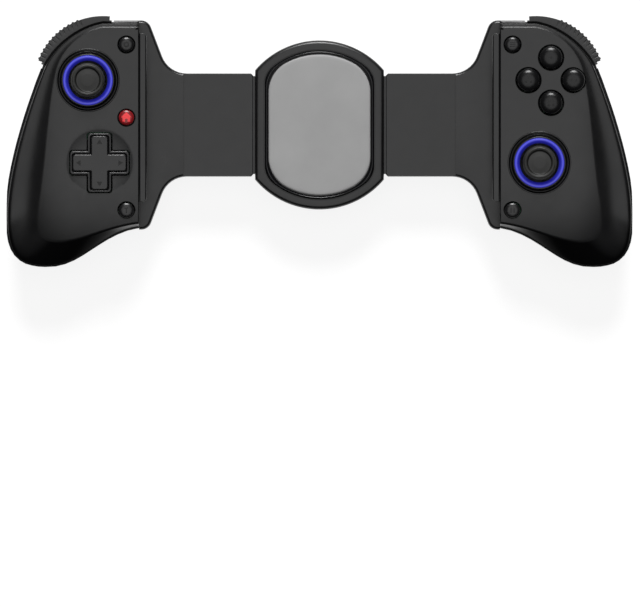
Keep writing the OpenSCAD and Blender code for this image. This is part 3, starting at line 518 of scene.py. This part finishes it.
PLAN_STEPS = {"top": 10, "shoulder": 56, "side": 44, "lobe": 36, "low": 36, "inner": 20}
PLAN_CORE = (86, -3)
CREASE_INSET = 0.6
ROLL_ANGLES = [90 * k / 18 for k in range(18)] + [87.6, 90]
FACE_SHARES = (0.025, 0.07, 0.14, 0.24, 0.35, 0.47, 0.6, 0.74, 0.88)
BAND_SLOPES = (0.13, 0.2, 0.1, 0.28)
BAND_X = (92, 100)
BAND_Y = (-43, -29)
RIM_POWER = 36
FOOT_LEAN = 0.92
FOOT_LEAN_Y = (-24, -34)
SIDE_FALL_X = 95
SIDE_FALL_WAY = 12
FOOT_FALL_Y = -18
FOOT_FALL_WAY = 28
FOOT_FALL = 3.5


def bezier(p, t):
    s = 1 - t
    weights = (s ** 3, 3 * s * s * t, 3 * s * t * t, t ** 3)
    return tuple(sum(w * q[k] for w, q in zip(weights, p)) for k in (0, 1))


def bezier_run(p, n):
    return [bezier(p, i / n) for i in range(1, n + 1)]


def handle_loop(plan, d):
    """A plan of the right grip as points, moved in by a distance: from the inner top corner clockwise."""
    start = (plan["inner"] + d, plan["top"] - d)
    end = (plan["inner"] + d, plan["foot"] + d)
    first, last = plan["radii"]
    n = PLAN_STEPS["shoulder"]
    arc = []
    for i in range(n + 1):
        a = math.radians(lerp(90, SHOULDER_END, i / n))
        r = lerp(first - d, last - d, i / n) - plan["dip"] * math.sin(math.pi * i / n)
        arc.append(on_circle(SHOULDER, r, a))
    side = [(x - d, y) for x, y in plan["side"]]
    (x0, y0), (x1, y1), (x2, y2) = plan["lobe"]
    lobe = [(x0 - d, y0), (x1 - d / 2, y1 + d), (x2, y2 + d)]
    low = [(x, y + d) for x, y in plan["low"]]
    loop = [mix(start, arc[0], i / PLAN_STEPS["top"]) for i in range(PLAN_STEPS["top"])]
    loop += arc
    loop += bezier_run([arc[-1], *side], PLAN_STEPS["side"])
    loop += bezier_run([side[2], *lobe], PLAN_STEPS["lobe"])
    loop += bezier_run([lobe[2], *low, end], PLAN_STEPS["low"])
    loop += [mix(end, start, i / PLAN_STEPS["inner"]) for i in range(1, PLAN_STEPS["inner"])]
    return loop


def face_at(p):
    """Height of the face, which falls away towards the outer side and the foot."""
    side = max(0.0, (p[0] - SIDE_FALL_X) / SIDE_FALL_WAY)
    low = max(0.0, (FOOT_FALL_Y - p[1]) / FOOT_FALL_WAY)
    return FACE_Z - side * side - FOOT_FALL * low * low


def band_at(p):
    """How far the outer side of the grip is a broad band with a tight rim, and not an even roll."""
    if p[1] > 0:
        return 1.0
    return fade(p[0], *BAND_X) * fade(p[1], *BAND_Y)


def band_fall(share):
    """How far the band has fallen at a share of its width of 1: most of the fall is beside the crease."""
    least, more, middle, reach = BAND_SLOPES
    swell = math.erf((share - middle) / reach) + math.erf(middle / reach)
    return least * share + more * reach * math.sqrt(math.pi) / 2 * swell


def lean_at(p):
    """How far the roll leans from an ellipse to a straight slope, at the foot of the grip."""
    return FOOT_LEAN * fade(p[1], *FOOT_LEAN_Y)


def front_rings(d):
    """Rings of the skin at a depth, from the edge at the seam up to the crease and in over the face."""
    edge = handle_loop(EDGE_PLAN, d)
    crease = handle_loop(CREASE_PLAN, d * CREASE_INSET)
    rings = []
    for degrees in ROLL_ANGLES:
        a = math.radians(degrees)
        out = math.cos(a)
        rim = math.sqrt(1 - out ** RIM_POWER)
        ring = []
        for e, c in zip(edge, crease):
            p = mix(c, e, out)
            top = face_at(c) - d
            roll = lerp(SEAM_Z, top, lerp(math.sin(a), 1 - out, lean_at(c)))
            band = lerp(SEAM_Z, top - band_fall(out) * math.dist(c, e), rim)
            ring.append((p[0], p[1], lerp(roll, band, band_at(c))))
        rings.append(ring)
    for f in FACE_SHARES:
        ring = []
        for c in crease:
            p = mix(c, PLAN_CORE, f)
            ring.append((p[0], p[1], face_at(p) - d))
        rings.append(ring)
    return rings


def shell_mesh(s):
    """A front shell of even wall, before its holes."""
    outer = front_rings(0)
    inner = front_rings(WALL)
    n = len(outer[0])
    points = []
    faces = []
    for rings, depth in ((outer, 0), (inner, WALL)):
        first = len(points)
        points += [p for ring in rings for p in ring]
        points.append((*PLAN_CORE, face_at(PLAN_CORE) - depth))
        faces += ring_faces(first, len(rings), n)
        last = first + (len(rings) - 1) * n
        faces += [(last + i, last + (i + 1) % n, last + n) for i in range(n)]
    second = len(outer) * n + 1
    for i in range(n):
        j = (i + 1) % n
        faces.append((i, j, second + j, second + i))
    return mesh_of("shell", [mirrored(p, s) for p in points], faces)


def eased(obj, line):
    """Takes the hard edge off a line of points of a piece, so that it shades as a tight round."""
    tree = tree_of([in_frame(p) for p in line])
    on_line = [tree.find(v.co)[2] < 0.01 * MM for v in obj.data.vertices]
    for edge in obj.data.edges:
        if on_line[edge.vertices[0]] and on_line[edge.vertices[1]]:
            edge.use_edge_sharp = False


# Painted shade, as a darker and duller black: where the foot and the rim begin, and between which upright
# parts of the normal it sets in
PAINTED_SHADE_FOOT_Y = (-34, -42)
PAINTED_SHADE_FOOT_LEVEL = (0.962, 0.932)
PAINTED_SHADE_RIM_X = 102
PAINTED_SHADE_RIM_Y = 12
PAINTED_SHADE_RIM_R = 21.3
PAINTED_SHADE_RIM_LEVEL = (0.93, 0.78)


def painted_shade_at(p, level):
    """How far painted shade covers a point of the grip, by how level it lies: on the foot and on the rim.
    """
    foot = fade(p[1], *PAINTED_SHADE_FOOT_Y) * fade(level, *PAINTED_SHADE_FOOT_LEVEL)
    on_rim = p[0] > PAINTED_SHADE_RIM_X or p[1] > PAINTED_SHADE_RIM_Y and math.dist(p, SHOULDER) > PAINTED_SHADE_RIM_R
    return max(foot, fade(level, *PAINTED_SHADE_RIM_LEVEL)) if on_rim else foot


def paint_grip_shade(obj):
    """Paints shade on the rim and the foot of the grip, as a darker, duller black: a layer of the mesh says
    how far at each point.
    """
    layer = obj.data.attributes.new("painted_shade_zone", "FLOAT", "POINT")
    for point, item in zip(obj.data.vertices, layer.data):
        p = (abs(point.co.x) / MM, point.co.y / MM - FRAME_Y)
        item.value = painted_shade_at(p, point.normal.z)
    obj.data.materials.append(painted_shade_black)
    for face in obj.data.polygons:
        if any(layer.data[i].value > 0 for i in face.vertices):
            face.material_index = 1


# Back shells
WIDEN_STEPS = 12
WIDEN_Z = (6, 26)
WIDEN_GAP = (10, 0)
WIDEN_ROOM = 0.8


def widened(obj, s):
    """Moves the back shell's side out to the front skin's fuller plan, less and less below the seam."""
    solid = handle_loop(SOLID_PLAN, 0)
    loop = handle_loop(EDGE_PLAN, 0)
    full = []
    for a, b in zip(loop, loop[1:] + loop[:1]):
        full += [mix(a, b, k / WIDEN_STEPS) for k in range(WIDEN_STEPS)]
    full_tree = tree_of([(*p, 0) for p in full])
    solid_tree = tree_of([(*p, 0) for p in solid])
    moves = []
    for p in solid:
        q = full_tree.find((*p, 0))[0]
        moves.append((q[0] - p[0], q[1] - p[1]))
    for point in obj.data.vertices:
        spot = (s * point.co.x / MM, point.co.y / MM - FRAME_Y, 0)
        i, gap = solid_tree.find(spot)[1:]
        share = fade(point.co.z / MM, *WIDEN_Z) * fade(gap, *WIDEN_GAP) * MM
        room = cad_box[1][0] - s * point.co.x
        point.co.x += s * moves[i][0] * share * unit(room / (WIDEN_ROOM * MM))
        point.co.y += moves[i][1] * share


# Holes in the front shells
STICK_HOLE = 12.05
SMALL_HOLE = 3.25
FACE_HOLE = 4.8
FACE_HOLE_CHAMFER = 0.35
CUT_OVER = 4
DISH_R = 13.3
DISH_DEEP = 1.5
DISH_CUT_R = 14.5
CROSS = (23.9, 9.1, 0.9)
CROSS_HOLE = (24.9, 10.1, 1.1)
CROSS_CORNER = 0.5


def hole_cutter(spot, r, top, chamfer=0.3):
    wide = r + chamfer
    over = top + CUT_OVER
    profile = [(0, SEAM_Z), (r, SEAM_Z), (r, top - chamfer), (wide, top), (wide, over), (0, over)]
    return lathe("cutter", profile, spot, 64)


def cross_outline(span, arm, end_round):
    """Plan of the direction pad: a cross with round ends and eased corners."""
    reach = span / 2
    h = arm / 2
    corners = []
    radii = []
    for quarter in range(4):
        for x, y, r in ((h, -h, CROSS_CORNER), (reach, -h, end_round), (reach, h, end_round)):
            corners.append(turned((x, y), quarter))
            radii.append(r)
    out = []
    for x, y in rounded(corners, radii):
        along, over = (x, y) if abs(x) > abs(y) else (y, x)
        sag = reach - math.sqrt(max(0.0, reach * reach - over * over))
        share = max(0.0, (abs(along) - h) / (reach - h))
        along -= math.copysign(sag * share, along)
        out.append((along, over) if abs(x) > abs(y) else (over, along))
    return out


def dish_cutter():
    """A shallow cap of a ball, for the dish around the direction pad."""
    ball = (DISH_R * DISH_R + DISH_DEEP * DISH_DEEP) / (2 * DISH_DEEP)
    profile = []
    for k in range(17):
        r = DISH_CUT_R * k / 16
        profile.append((r, FACE_Z - DISH_DEEP + ball - math.sqrt(ball * ball - r * r)))
    profile += [(DISH_CUT_R, FACE_Z + CUT_OVER), (0, FACE_Z + CUT_OVER)]
    return lathe("cutter", profile, CROSS_SPOT, 96)


def cross_cutter():
    outline = cross_outline(*CROSS_HOLE)
    return loft("cutter", [outline_ring(outline, CROSS_SPOT, z) for z in (SEAM_Z, FACE_Z + CUT_OVER)])


def small_top(y):
    return face_at((SMALL_X, y))


def front_shell(side, s):
    cutters = [hole_cutter(STICK_SPOTS[side], STICK_HOLE, FACE_Z)]
    cutters += [hole_cutter((s * SMALL_X, y), SMALL_HOLE, small_top(y)) for y in SMALL_YS[side]]
    if side == "left":
        cutters += [dish_cutter(), cross_cutter()]
    else:
        for turn in FACE_TURNS.values():
            cutters.append(hole_cutter(face_button_spot(turn), FACE_HOLE, FACE_Z, FACE_HOLE_CHAMFER))
    node = side + "_front_shell"
    shape = cut(shell_mesh(s), cutters)
    shell = piece(node + "_skin", shape, side + "_half", shell_black, [node], sharp=36)
    # Painted shade on the grip's steep foot and rim
    paint_grip_shade(shell)
    crease = front_rings(0)[len(ROLL_ANGLES) - 1]
    eased(shell, [mirrored(p, s) for p in crease])


# Sticks: profiles of collar, light ring and cap, as radius and height, with the radii of their corners
COLLAR = rounded([
    (7.6, 33.4), (11.7, 33.4), (12.3, 34.6), (12.3, 36.12), (11.85, 36.12), (11.1, 35.0), (10.1, 36.75),
    (9.72, 36.75), (9.72, 34.4), (7.6, 34.4),
], [0, 0, 0, 0.25, 0.3, 0.3, 0.25, 0.1, 0, 0], 6)
LIGHT_RING = rounded([
    (7.6, 34.42), (9.7, 34.42), (9.7, 36.5), (9.25, 36.95), (8.5, 36.95), (7.6, 35.2),
], [0, 0, 0.35, 0.3, 0.5, 0.3], 6)
CAP = rounded([
    (0, 37.5), (3.0, 37.5), (3.2, 39.5), (4.6, 40.7), (6.1, 41.3), (6.58, 41.9), (6.58, 43.5),
    (5.75, 44.3), (4.95, 44.1), (4.5, 43.35), (2.4, 43.62), (0, 43.7),
], [0, 0.3, 0.6, 1.0, 0.4, 0.4, 0.7, 0.6, 0.35, 0.4, 2.0, 0], 6, closed=False)

# Least radius of the cap's ribs, their height and their number
CAP_RIBS = (6.45, 0.035, 48)


def stick(side):
    spot = STICK_SPOTS[side]
    half = side + "_half"
    piece(side + "_collar", lathe("collar", COLLAR, spot, 128, wrap=True), half, collar_black)
    # Light ring that glows, with a painted highlight on its crown and painted shade on its slope and foot
    painted_glow = painted_light_ring(side + "_painted_light_ring", spot)
    ring = lathe("ring", LIGHT_RING, spot, 128, wrap=True)
    piece(side + "_light_ring_skin", ring, half, painted_glow, [side + "_light_ring"])
    cap = lathe("cap", CAP, spot, 192, ribs=CAP_RIBS)
    piece(side + "_stick_cap_skin", cap, side + "_stick", rubber_black, [side + "_stick_cap"], sharp=40)
    dressed(side + "_stick_shaft", collar_black)
    dressed(side + "_stick_base", grey_plastic)
    dressed(side + "_stick_cradle", grey_plastic)
    dressed(side + "_stick_gimbal", nylon_white)


# Bumpers: grooves between the ribs run on over the top, and the inner edge falls away beside the shell
BUMPER_ANGLES = (19, 97.5)
RIB_START = 23
RIB_PITCH = 4.1
RIB_COUNT = 12
RIB_GROOVE = ((22.6, 28.3), (24.2, 27.93), (25.6, 27.8), (28.5, 27.6))
RIB_GROOVE_HALF = 0.45
RIB_GROOVE_DEEP = 0.32
EDGE_GROOVE = ((-1.5, 28.4), (1.0, 28.4), (1.0, 27.55), (0.75, 27.4), (-0.3, 26.3), (-1.5, 26.3))
EDGE_GROOVE_STEPS = 60


def on_shoulder(r, degrees, s):
    return mirrored(on_circle(SHOULDER, r, math.radians(degrees)), s)


def rib_groove(degrees, s):
    """A round bar along a radius of the shoulder, which sinks into the bumper's top towards the outside."""
    rings = []
    for r, z in RIB_GROOVE:
        ring = []
        for k in range(16):
            a = 2 * math.pi * k / 16
            aside = math.degrees(RIB_GROOVE_HALF * math.cos(a) / r)
            ring.append((*on_shoulder(r, degrees + aside, s), z + RIB_GROOVE_DEEP * math.sin(a)))
        rings.append(ring)
    return loft("cutter", rings)


def shell_edge(degrees):
    """Radius of the front shell's edge on the shoulder."""
    t = (90 - degrees) / (90 - SHOULDER_END)
    return lerp(*EDGE_PLAN["radii"], t) - EDGE_PLAN["dip"] * math.sin(math.pi * unit(t))


def edge_groove(s):
    rings = []
    for i in range(EDGE_GROOVE_STEPS + 1):
        degrees = lerp(BUMPER_ANGLES[0] - 2, BUMPER_ANGLES[1] + 2, i / EDGE_GROOVE_STEPS)
        r = shell_edge(degrees)
        rings.append([(*on_shoulder(r + out, degrees, s), z) for out, z in EDGE_GROOVE])
    return loft("cutter", rings)


def ribbed_bumper(side, s):
    node = side + "_bumper"
    cutters = [edge_groove(s)]
    cutters += [rib_groove(RIB_START + (i - 0.5) * RIB_PITCH, s) for i in range(RIB_COUNT + 1)]
    piece(node + "_skin", cut(joined_mesh(node), cutters), node, rib_black, [node], sharp=30)


for side, s in SIDES.items():
    front_shell(side, s)
    stick(side)
    widened(refined(side + "_back_shell", grip_black, sharp=30), s)
    refined(side + "_arm_front", shell_black)
    refined(side + "_arm_back", shell_black)
    refined(side + "_clamp_pad", shell_black, bevel=0.22)
    ribbed_bumper(side, s)
    refined(side + "_trigger", rib_black, sharp=34)
    dressed(side + "_trigger_pin", steel)
    dressed(side + "_board", board_green)
    dressed(side + "_screws", screw_steel)
    dressed(side + "_rack", grey_plastic)

# Buttons
DOME_POWERS = (0.74, 1.1)
DOME_STEPS = 18
BUTTON_FOOT = 32
FACE_BUTTON_R = 4.5
FACE_SHOULDER = 0.6
FACE_TOP = 2.2
SMALL_R = 2.95
SMALL_TOP = 1.1
SMALL_CROWN = 0.75
SMALL_DROP = 1.12
INLAY_DEEP = 0.9
INLAY_LIFT = 0.03
NEXT_LIFT = 0.02


def dome_profile(r, foot, shoulder, top):
    profile = [(0, foot), (r, foot)]
    for k in range(DOME_STEPS + 1):
        a = math.pi / 2 * k / DOME_STEPS
        rise = math.sin(a) ** DOME_POWERS[1]
        profile.append((r * math.cos(a) ** DOME_POWERS[0], shoulder + (top - shoulder) * rise))
    profile[-1] = (0, top)
    return profile


def prism(name, outline, spot, z, height):
    return loft(name, [outline_ring(outline, spot, z), outline_ring(outline, spot, z + height)])


def inlay(profile, outline, spot, lift):
    """The part of a dome within the outline, lifted a little out of the dome."""
    top = profile[-1][1]
    blank = lathe("blank", [(r, z + lift) for r, z in profile], spot, 96)
    return cut(blank, [prism("cutter", outline, spot, top - INLAY_DEEP, 2)], "INTERSECT")


def disc(r, centre=(0, 0), n=20):
    return [on_circle(centre, r, 2 * math.pi * i / n) for i in range(n)]


def bar(w, h, centre=(0, 0)):
    signs = ((-1, -1), (1, -1), (1, 1), (-1, 1))
    corners = [(centre[0] + i * w / 2, centre[1] + j * h / 2) for i, j in signs]
    return rounded(corners, [min(w, h) * 0.3] * 4, 3)


FACE_DOTS = {
    "right": [(-0.95, 0), (0.95, 0)],
    "top": [(0, 0)],
    "left": [(-1, -0.6), (1, -0.6), (0, 1.1)],
    "bottom": [(-0.9, -0.9), (0.9, -0.9), (-0.9, 0.9), (0.9, 0.9)],
}
for name, turn in FACE_TURNS.items():
    spot = face_button_spot(turn)
    body = "face_button_" + name
    dome = dome_profile(FACE_BUTTON_R, BUTTON_FOOT, FACE_Z + FACE_SHOULDER, FACE_Z + FACE_TOP)
    piece(body + "_skin", lathe(body, dome, spot, 96), body, dome_black, [body], sharp=60)
    for i, dot in enumerate(FACE_DOTS[name]):
        piece(f"{body}_dot_{i + 1}", inlay(dome, disc(0.5, dot), spot, INLAY_LIFT), body, mark_dark)

HOUSE = [
    (-1.5, -1.6), (-0.5, -1.6), (-0.5, -0.5), (0.5, -0.5), (0.5, -1.6), (1.5, -1.6), (1.5, 0.1),
    (2.1, 0.1), (0, 2.1), (-2.1, 0.1), (-1.5, 0.1),
]
SMALL_MARKS = {
    "capture_button": (-1, TOP_SMALL_Y, [disc(1.15, n=28), disc(0.5)]),
    "turbo_button": (-1, LOW_SMALL_Y, [bar(0.5, 2.3), bar(1.5, 0.5, (0, 0.9))]),
    "menu_button": (1, TOP_SMALL_Y, [bar(2.3, 0.36, (0, k * 0.75)) for k in (-1, 0, 1)]),
    "mode_button": (1, LOW_SMALL_Y, [bar(0.5, 2.0, (k * 0.6, 0)) for k in (-1, 1)]),
    "home_button": (-1, HOME_Y, [HOUSE]),
}
for body, (s, y, outlines) in SMALL_MARKS.items():
    spot = (s * SMALL_X, y)
    drop = (FACE_Z - small_top(y)) * SMALL_DROP
    top = FACE_Z + SMALL_TOP - drop
    red = body == "home_button"
    dome = dome_profile(SMALL_R, BUTTON_FOOT - drop, top - SMALL_CROWN, top)
    skin = lathe(body, dome, spot, 96)
    piece(body + "_skin", skin, body, home_red if red else button_black, [body], sharp=60)
    for i, outline in enumerate(outlines):
        inner = body == "capture_button" and i == 1
        paint = mark_rose if red else (mark_pale if inner else mark_dark)
        mark = inlay(dome, outline, spot, INLAY_LIFT + NEXT_LIFT * i)
        piece(f"{body}_mark_{i + 1}", mark, body, paint)

# Direction pad: rings by inset and height, over the edge, through a groove and onto the hollow top
CROSS_RINGS = [
    (0, 30.4), (0, 36.45), (0.05, 36.62), (0.15, 36.7), (0.3, 36.73), (0.76, 36.73), (0.86, 36.66),
    (0.98, 36.3), (1.12, 36.1), (1.26, 36.3), (1.38, 36.8), (1.5, 36.95), (1.7, 37.0), (2.0, 37.0),
    (2.6, 37.0),
]
CROSS_GROOVE_END = 1.3
CROSS_TOP = 37.0
CROSS_RISE = 0.2
CROSS_RISE_R = 10.5
ARROW = [(7.3, -1.1), (9.1, 0), (7.3, 1.1)]
ARROW_HEIGHT = 0.2


def cross_ring(outline, z, hollow):
    ring = []
    for x, y in outline:
        rise = CROSS_RISE * min(1.0, (math.hypot(x, y) / CROSS_RISE_R) ** 2) if hollow else 0.0
        ring.append((CROSS_SPOT[0] + x, CROSS_SPOT[1] + y, z + rise))
    return ring


rings = []
for d, z in CROSS_RINGS:
    outline = cross_outline(CROSS[0] - 2 * d, CROSS[1] - 2 * d, CROSS[2])
    rings.append(cross_ring(outline, z, d > CROSS_GROOVE_END))
for share in (0.75, 0.5, 0.25):
    rings.append(cross_ring([(x * share, y * share) for x, y in outline], CROSS_TOP, True))
piece("dpad_skin", loft("dpad", rings), "dpad", button_black, ["dpad"], sharp=60)
for quarter in range(4):
    outline = [turned(p, quarter) for p in ARROW]
    arrow = prism("arrow", outline, CROSS_SPOT, CROSS_TOP, ARROW_HEIGHT)
    piece(f"dpad_arrow_{quarter + 1}", arrow, "dpad", mark_dark)
dressed("dpad_pivot", steel)

# Bridge: housing, carrier and crowned pad, with rings by inset and height
CARRIER = (28.9, 42.4)
CARRIER_CORNERS = (9, 14.5)
CARRIER_RINGS = [
    (0, 22.85), (0, 23.8), (0.1, 24.1), (0.25, 24.4), (0.43, 24.65), (0.56, 24.76), (0.66, 24.79),
    (0.76, 24.76), (0.9, 24.65), (1.07, 24.4), (1.22, 24.1), (1.35, 23.5),
]
PHONE_PAD = (27.3, 39.5, 13)
PHONE_PAD_RINGS = [
    (0, 23.5), (0, 24.75), (0.12, 25.0), (0.35, 25.16), (0.75, 25.25), (1.6, 25.3), (4, 25.35),
    (7.4, 25.38),
]


def oval_outline(r, w, corner, steps=24):
    """A circle cut by two upright sides, with round corners."""
    cx = w / 2 - corner
    cy = math.sqrt((r - corner) ** 2 - cx * cx)
    lean = math.degrees(math.atan2(cy, cx))
    quarter = []
    for i in range(steps + 1):
        quarter.append(on_circle((cx, cy), corner, math.radians(lean * i / steps)))
    for i in range(1, steps + 1):
        quarter.append(on_circle((0, 0), r, math.radians(lerp(lean, 90, i / steps))))
    half = quarter + [(-x, y) for x, y in reversed(quarter[:-1])]
    return half + [(x, -y) for x, y in reversed(half)]


def oval_ring(inset, z, r, w, corner):
    return outline_ring(oval_outline(r - inset, w - 2 * inset, corner - inset), (0, 0), z)


refined("bridge_front_cover", shell_black)
refined("bridge_back_cover", shell_black)
rings = []
for d, z in CARRIER_RINGS:
    corner = lerp(*CARRIER_CORNERS, d / CARRIER_RINGS[-1][0])
    rings.append(oval_ring(d, z, *CARRIER, corner))
piece("pad_carrier_skin", loft("carrier", rings), "bridge", gloss_black, ["pad_carrier"], sharp=50)
rings = [oval_ring(d, z, *PHONE_PAD) for d, z in PHONE_PAD_RINGS]
pad = piece("phone_pad_skin", loft("pad", rings), "bridge", pad_grey, ["phone_pad"], sharp=60)

# Springs and flat cable, inside the arms
SPRING_TURNS = 13
TURN_STEPS = 28
SPRING_R = 1.6
WIRE_R = 0.275
WIRE_SIDES = 10
SPRING_ENDS = (36.25, 60.15)
SPRING_AXIS = (10.8, 16.8)
LEAD_SHARE = 0.05
CABLE_ENDS = (-80, 80)
CABLE_FOLDS = (-11, 9)
CABLE_Z = 18.45
CABLE_STEP = 0.5
CABLE_HALF_WIDTH = 4.5
FILM_HALF = 0.08
FOLD_STEPS = 12


def scaled(v, share):
    return [c * share for c in v]


def coil(s):
    """A spring whose wire leads from its axis out to the turns and back to the axis at the other end."""
    count = SPRING_TURNS * TURN_STEPS
    path = []
    for i in range(count + 1):
        t = i / count
        turn = unit((t - LEAD_SHARE) / (1 - 2 * LEAD_SHARE))
        reach = SPRING_R * min(1.0, min(t, 1 - t) / LEAD_SHARE)
        a = 2 * math.pi * SPRING_TURNS * turn
        path.append((lerp(*SPRING_ENDS, t), *on_circle(SPRING_AXIS, reach, a)))
    rings = []
    for i, p in enumerate(path):
        ahead = path[min(i + 1, count)]
        behind = path[max(i - 1, 0)]
        d = [b - a for a, b in zip(behind, ahead)]
        d = scaled(d, 1 / math.hypot(*d))
        u = (0, d[2], -d[1]) if abs(d[0]) < 0.9 else (-d[2], 0, d[0])
        u = scaled(u, 1 / math.hypot(*u))
        v = (d[1] * u[2] - d[2] * u[1], d[2] * u[0] - d[0] * u[2], d[0] * u[1] - d[1] * u[0])
        ring = []
        for k in range(WIRE_SIDES):
            a = 2 * math.pi * k / WIRE_SIDES
            at = [p[m] + WIRE_R * (math.cos(a) * u[m] + math.sin(a) * v[m]) for m in range(3)]
            ring.append((s * at[0], s * at[1], at[2]))
        rings.append(ring)
    return loft("spring", rings)


def fold(x, z, way):
    """Points of a half turn of the cable from below to above, to the right or to the left."""
    angles = [math.radians(-90 + way * 180 * k / FOLD_STEPS) for k in range(1, FOLD_STEPS)]
    return [on_circle((x, z), CABLE_STEP / 2, a) for a in angles]


def ribbon():
    """Flat cable in three runs with two folds, from the left board to the right one."""
    left, right = CABLE_FOLDS
    middle = CABLE_Z + CABLE_STEP
    high = CABLE_Z + 2 * CABLE_STEP
    path = [(x, CABLE_Z) for x in (CABLE_ENDS[0], -60, -40, -20, right)]
    path += fold(right, CABLE_Z + CABLE_STEP / 2, 1)
    path += [(right, middle), (left, middle)]
    path += fold(left, CABLE_Z + 1.5 * CABLE_STEP, -1)
    path += [(x, high) for x in (left, 20, 40, 60, CABLE_ENDS[1])]
    rings = []
    for i, (x, z) in enumerate(path):
        x0, z0 = path[max(i - 1, 0)]
        x1, z1 = path[min(i + 1, len(path) - 1)]
        size = math.hypot(x1 - x0, z1 - z0)
        nx = -(z1 - z0) / size * FILM_HALF
        nz = (x1 - x0) / size * FILM_HALF
        rings.append([
            (x - nx, -CABLE_HALF_WIDTH, z - nz),
            (x - nx, CABLE_HALF_WIDTH, z - nz),
            (x + nx, CABLE_HALF_WIDTH, z + nz),
            (x + nx, -CABLE_HALF_WIDTH, z + nz),
        ])
    return loft("cable", rings)


piece("upper_spring_skin", coil(1), "right_half", steel, ["upper_spring"], sharp=60)
piece("lower_spring_skin", coil(-1), "left_half", steel, ["lower_spring"], sharp=60)
piece("flex_cable_skin", ribbon(), "bridge", film_amber, ["flex_cable"], sharp=40)

# Other parts
refined("dpad_membrane", silicone_grey, sharp=60)
refined("face_button_membrane", silicone_grey, sharp=60)
refined("battery", cell_foil, sharp=40, bevel=0.8)
dressed("sync_pinion", nylon_white)
dressed("pinion_axle", steel)
dressed("bridge_screws", screw_steel)
dressed("charge_socket", steel)

# Stage: a white floor under a dim sky with a white horizon, a wide lamp overhead and a sun beyond the top
FLOOR_RADII = (0, 300, 1000, 4000, 14000)
FLOOR_GREY = (0.27, 0.27, 0.27)
FLOOR_GLOW = 0.86
SKY = [(0.04, (1, 1, 1)), (0.09, (0.02, 0.02, 0.02))]
OVERHEAD_POWER = 196.0
OVERHEAD_PLACE = (0, 0, 9.0)
OVERHEAD_SIZE = 7.8
SUN_POWER = 3.0
SUN_PLACE = (0, 2.0, 1.7)
SUN_ANGLE = 24


def floor_finish(name):
    """White paper: what the camera and reflections see is lifted to white, and keeps a light shadow."""
    material = finish(name, FLOOR_GREY, 0.9, grain=2.0, depth=0.0, mottle=0.002, Specular_IOR_Level=0.0)
    tree = material.node_tree
    path = add(tree, "ShaderNodeLightPath")
    seen = path.outputs["Is Camera Ray"]
    for other in ("Is Glossy Ray", "Is Transmission Ray"):
        either = add(tree, "ShaderNodeMath", operation="MAXIMUM")
        tree.links.new(seen, either.inputs[0])
        tree.links.new(path.outputs[other], either.inputs[1])
        seen = either.outputs["Value"]
    shader = tree.nodes["Principled BSDF"]
    shader.inputs["Emission Color"].default_value = (1, 1, 1, 1)
    tree.links.new(spread(tree, seen, 0.0, FLOOR_GLOW), shader.inputs["Emission Strength"])
    return material


def lamp(name, kind, energy, place, **values):
    """A lamp that looks at the middle of the frame."""
    data = bpy.data.lights.new(name, kind)
    data.energy = energy
    for key, value in values.items():
        setattr(data, key, value)
    obj = placed(name, data)
    obj.location = place
    x, y, z = (0 - p for p in place)
    pitch = math.atan2(z, math.hypot(x, y))
    obj.rotation_euler = (math.pi / 2 + pitch, 0, math.atan2(y, x) - math.pi / 2)


floor_mesh = lathe("floor", [(r, 0) for r in FLOOR_RADII], (0, 0), 96)
if floor_mesh.polygons[0].normal.z < 0:
    floor_mesh.flip_normals()
floor_mesh.materials.append(floor_finish("floor_white"))
placed("floor", floor_mesh)

world = bpy.data.worlds.new("studio")
world.use_nodes = True
tree = world.node_tree
height = add(tree, "ShaderNodeSeparateXYZ")
tree.links.new(add(tree, "ShaderNodeTexCoord").outputs["Generated"], height.inputs["Vector"])
tree.links.new(ramp(tree, height.outputs["Z"], SKY), tree.nodes["Background"].inputs["Color"])
tree.nodes["Background"].inputs["Strength"].default_value = 1.0
scene.world = world

lamp("overhead", "AREA", OVERHEAD_POWER, OVERHEAD_PLACE, shape="DISK", size=OVERHEAD_SIZE)
lamp("key", "SUN", SUN_POWER, SUN_PLACE, angle=math.radians(SUN_ANGLE))

# Camera straight above, as the photograph looks at the object
CAMERA_MIDDLE = (0.0002, -0.0628)
CAMERA_REACH = 6.886
camera_data = bpy.data.cameras.new("camera")
camera_data.lens = 1000
camera_data.sensor_width = 36
camera = placed("camera", camera_data)
camera.location = (*CAMERA_MIDDLE, FACE_Z * MM + CAMERA_REACH)
scene.camera = camera
